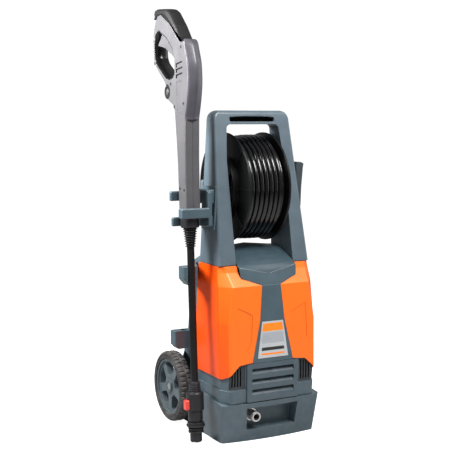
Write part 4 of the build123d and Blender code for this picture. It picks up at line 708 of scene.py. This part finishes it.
def cap_dial():
    """Pale caps in both faces of the dial."""
    low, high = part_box("regulator_dial")
    centre = Vector(joints["dial_turn"]["pos_m"])
    bm = bmesh.new()
    dome = ((1.0, -0.0012), (1.0, -0.0002), (0.92, 0.0004), (0.6, 0.0009), (0.25, 0.0011))
    for side, face in ((-1, low.x), (1, high.x)):
        rings = []
        for share, rise in dome:
            radius = CAP_RADIUS * share
            rings.append([bm.verts.new((face + side * rise, centre.y + radius * c, centre.z + radius * s))
                          for c, s in round_steps(40)])
        close_rings(bm, rings)
    return finish_piece("dial_caps", bm, cap_grey, "dial")


BOOT_RINGS = 8
BOOT_BORE = 0.0096
FOLD_DEPTH = 0.0046
POINTS_PER_FOLD = 8


def roll_boot():
    """The bellows between the collar and the lance, wider towards the gun."""
    low, top = 0.503, 0.5525
    step = (top - low) / BOOT_RINGS
    profile = [(BOOT_BORE, low)]
    for i in range(BOOT_RINGS):
        peak = 0.0142 + 0.0052 * i / (BOOT_RINGS - 1)
        for k in range(POINTS_PER_FOLD):
            share = k / POINTS_PER_FOLD
            wave = 0.5 - 0.5 * cos(2 * pi * share)
            profile.append((peak - FOLD_DEPTH + FOLD_DEPTH * wave ** 1.6, low + step * (i + share)))
    profile += [(0.0185, top), (BOOT_BORE, top)]
    bm = bmesh.new()
    turned_about_z(bm, profile, 48)
    return finish_piece("lance_bellows", bm, grip_rubber_skin, "gun", ["lance_boot"], gun_frame)


# ---- small trim --------------------------------------------------------------------------------
def screw_head(bm, place_at, facing, radius):
    """A pan-head screw with a cross recess, its top towards facing."""
    turn = Vector((0, 0, 1)).rotation_difference(facing).to_matrix().to_4x4()

    def on_head(share, rise, c, s):
        return bm.verts.new(place_at + turn @ (radius * Vector((share * c, share * s, rise))))

    profile = [(1.0, 0.0), (1.0, 0.25), (0.86, 0.48), (0.6, 0.60), (0.40, 0.62)]
    spokes = round_steps(24)
    rings = [[on_head(share, rise, c, s) for c, s in spokes] for share, rise in profile]
    recess = []
    for number, (c, s) in enumerate(spokes):
        in_arm = number % 6 in (0, 1, 5)
        recess.append(on_head(0.36 if in_arm else 0.144, 0.15 if in_arm else 0.62, c, s))
    skin_rings(bm, rings + [recess])
    bm.faces.new(recess)


def fit_rear_screws():
    """Four screws near the side edges of the rear cover."""
    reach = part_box("rear_cover")[1].x - 0.016
    bm = bmesh.new()
    for side in (-1, 1):
        for height in (0.335, 0.425):
            screw_head(bm, Vector((side * reach, 0.0879, height)), Vector((0, 1, 0)), 0.0042)
    return finish_piece("rear_cover_screws", bm, axle_steel, "chassis")


def shade_handle_slot():
    """Painted shade inside the slot of the handle, as black sheets: its back, floor, roof and ends."""
    bm = bmesh.new()
    half, front, back = 0.0668, -0.0170, 0.0128
    solid_block(bm, (-half, 0.0120, 0.8212), (half, back, 0.8348))
    solid_block(bm, (-half, front, 0.8212), (half, back, 0.8216))
    solid_block(bm, (-0.0640, -0.0150, 0.8326), (0.0640, back, 0.8330))
    for side in (-1, 1):
        low_x, high_x = sorted((side * 0.0664, side * half))
        solid_block(bm, (low_x, front, 0.8240), (high_x, back, 0.8300))
    return finish_piece("handle_slot_shade", bm, painted_shade_black, "chassis", smooth=False)


HOOD_EDGE_HALF = 0.0815       # from the middle to the leg
HOOD_CORNER = 0.084           # where the edge has risen in full
HOOD_EDGE_STEPS = 12


def bead_hood_highlight():
    """The fine raised bead along the hood's front edge, pale as a painted highlight, which rises from the
    middle to both legs.
    """
    bm = bmesh.new()
    for side in (-1, 1):
        points = []
        for k in range(HOOD_EDGE_STEPS + 1):
            x = HOOD_EDGE_HALF * k / HOOD_EDGE_STEPS
            rise = x / HOOD_CORNER
            points.append(Vector((side * x, -0.1171 + 0.0070 * rise, 0.4318 + 0.0184 * rise)))
        tube_along(bm, points, 0.0009, 8, up=Vector((0, 0, 1)))
    return finish_piece("hood_highlight_bead", bm, hood_highlight_pale, "chassis")


def mark_knob():
    """The white pointer on the switch knob."""
    low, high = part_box("switch_knob")
    middle_x = (low.x + high.x) / 2
    bm = bmesh.new()
    solid_block(bm, (middle_x - 0.001, high.y - 0.0006, high.z - 0.014),
                (middle_x + 0.001, high.y + 0.0004, high.z - 0.004), 0.0002)
    return finish_piece("knob_pointer", bm, mark_white, "switch")


wind_hose()
mould_tyre(1, "right_tyre")
mould_tyre(-1, "left_tyre")
pad_grip()
crown_fairing()
paint_loop_shade()
shade_beside_trigger()
shade_screw_wells()
shade_gun_vents()
ridge_barrel()
cap_dial()
roll_boot()
fit_rear_screws()
shade_handle_slot()
bead_hood_highlight()
mark_knob()


# ---- floor, light and camera -------------------------------------------------------------------
def lay_floor():
    """A paper floor that glows for the camera only, so that it stays white without lighting the washer."""
    bm = bmesh.new()
    bmesh.ops.create_grid(bm, x_segments=2, y_segments=2, size=6.0)
    for vert in bm.verts:
        vert.co.z = -0.0004
    mesh = bpy.data.meshes.new("studio_floor")
    bm.to_mesh(mesh)
    bm.free()
    material, tree, shader = start_material("paper_floor")
    skin = use_group(tree, spark_grain, {"Scale": 300.0})
    tree.links.new(blend_colour(tree, skin["Mottle"], (0.50, 0.50, 0.50, 1), (0.52, 0.52, 0.52, 1)),
                   shader.inputs["Base Color"])
    shader.inputs["Roughness"].default_value = 0.9
    shader.inputs["Emission Color"].default_value = (1.0, 1.0, 1.0, 1)
    ray = place(tree, "ShaderNodeLightPath")
    glow = calc(tree, "MULTIPLY", ray.outputs["Is Camera Ray"], 0.95)
    tree.links.new(glow, shader.inputs["Emission Strength"])
    mesh.materials.append(material)
    floor = bpy.data.objects.new("studio_floor", mesh)
    scene.collection.objects.link(floor)


def soft_light(name, at, towards, size, power):
    """A rectangular lamp at one place that looks at another; places in metres, power in watts."""
    data = bpy.data.lights.new(name, "AREA")
    data.shape = "RECTANGLE"
    data.size, data.size_y = size
    data.energy = power
    light = bpy.data.objects.new(name, data)
    light.location = at
    light.rotation_mode = "QUATERNION"
    light.rotation_quaternion = (Vector(towards) - Vector(at)).to_track_quat("-Z", "Y")
    scene.collection.objects.link(light)


def light_studio():
    """A white backdrop, brighter to the camera than to the washer, and five lamps."""
    world = bpy.data.worlds.new("studio")
    scene.world = world
    world.use_nodes = True
    tree = world.node_tree
    backdrop = tree.nodes["Background"]
    backdrop.inputs["Color"].default_value = (1.0, 1.0, 1.0, 1)
    ray = place(tree, "ShaderNodeLightPath")
    seen = calc(tree, "MULTIPLY", ray.outputs["Is Camera Ray"], 0.80)
    tree.links.new(calc(tree, "ADD", seen, 0.24), backdrop.inputs["Strength"])
    soft_light("left_softbox", (-1.5, 0.1, 1.7), (-0.1, 0.0, 0.85), (0.9, 1.2), 6)
    soft_light("gun_softbox", (-0.75, 0.15, 1.15), (-0.19, -0.02, 0.95), (0.35, 0.5), 25)
    soft_light("top_softbox", (0.2, -1.4, 2.2), (0.0, 0.0, 0.65), (1.2, 0.9), 46)
    soft_light("tower_softbox", (0.1, -0.9, 1.75), (0.0, 0.0, 0.78), (0.6, 0.3), 10)
    soft_light("right_rim", (1.6, -0.4, 1.2), (0.0, 0.0, 0.6), (0.5, 1.6), 6)


def set_camera():
    data = bpy.data.cameras.new("studio_camera")
    data.lens = 80.9
    data.sensor_width = 36.0
    data.clip_end = 50.0
    camera = bpy.data.objects.new("studio_camera", data)
    azimuth, elevation, distance = radians(-27.6), radians(6.0), 2.813
    aim = Vector((0.0, 0.128, 0.5345))
    back = Vector((sin(azimuth) * cos(elevation), -cos(azimuth) * cos(elevation), sin(elevation)))
    camera.location = aim + back * distance
    camera.rotation_mode = "QUATERNION"
    camera.rotation_quaternion = (-back).to_track_quat("-Z", "Y")
    scene.collection.objects.link(camera)
    scene.camera = camera


lay_floor()
light_studio()
set_camera()
scene.view_settings.view_transform = "Standard"
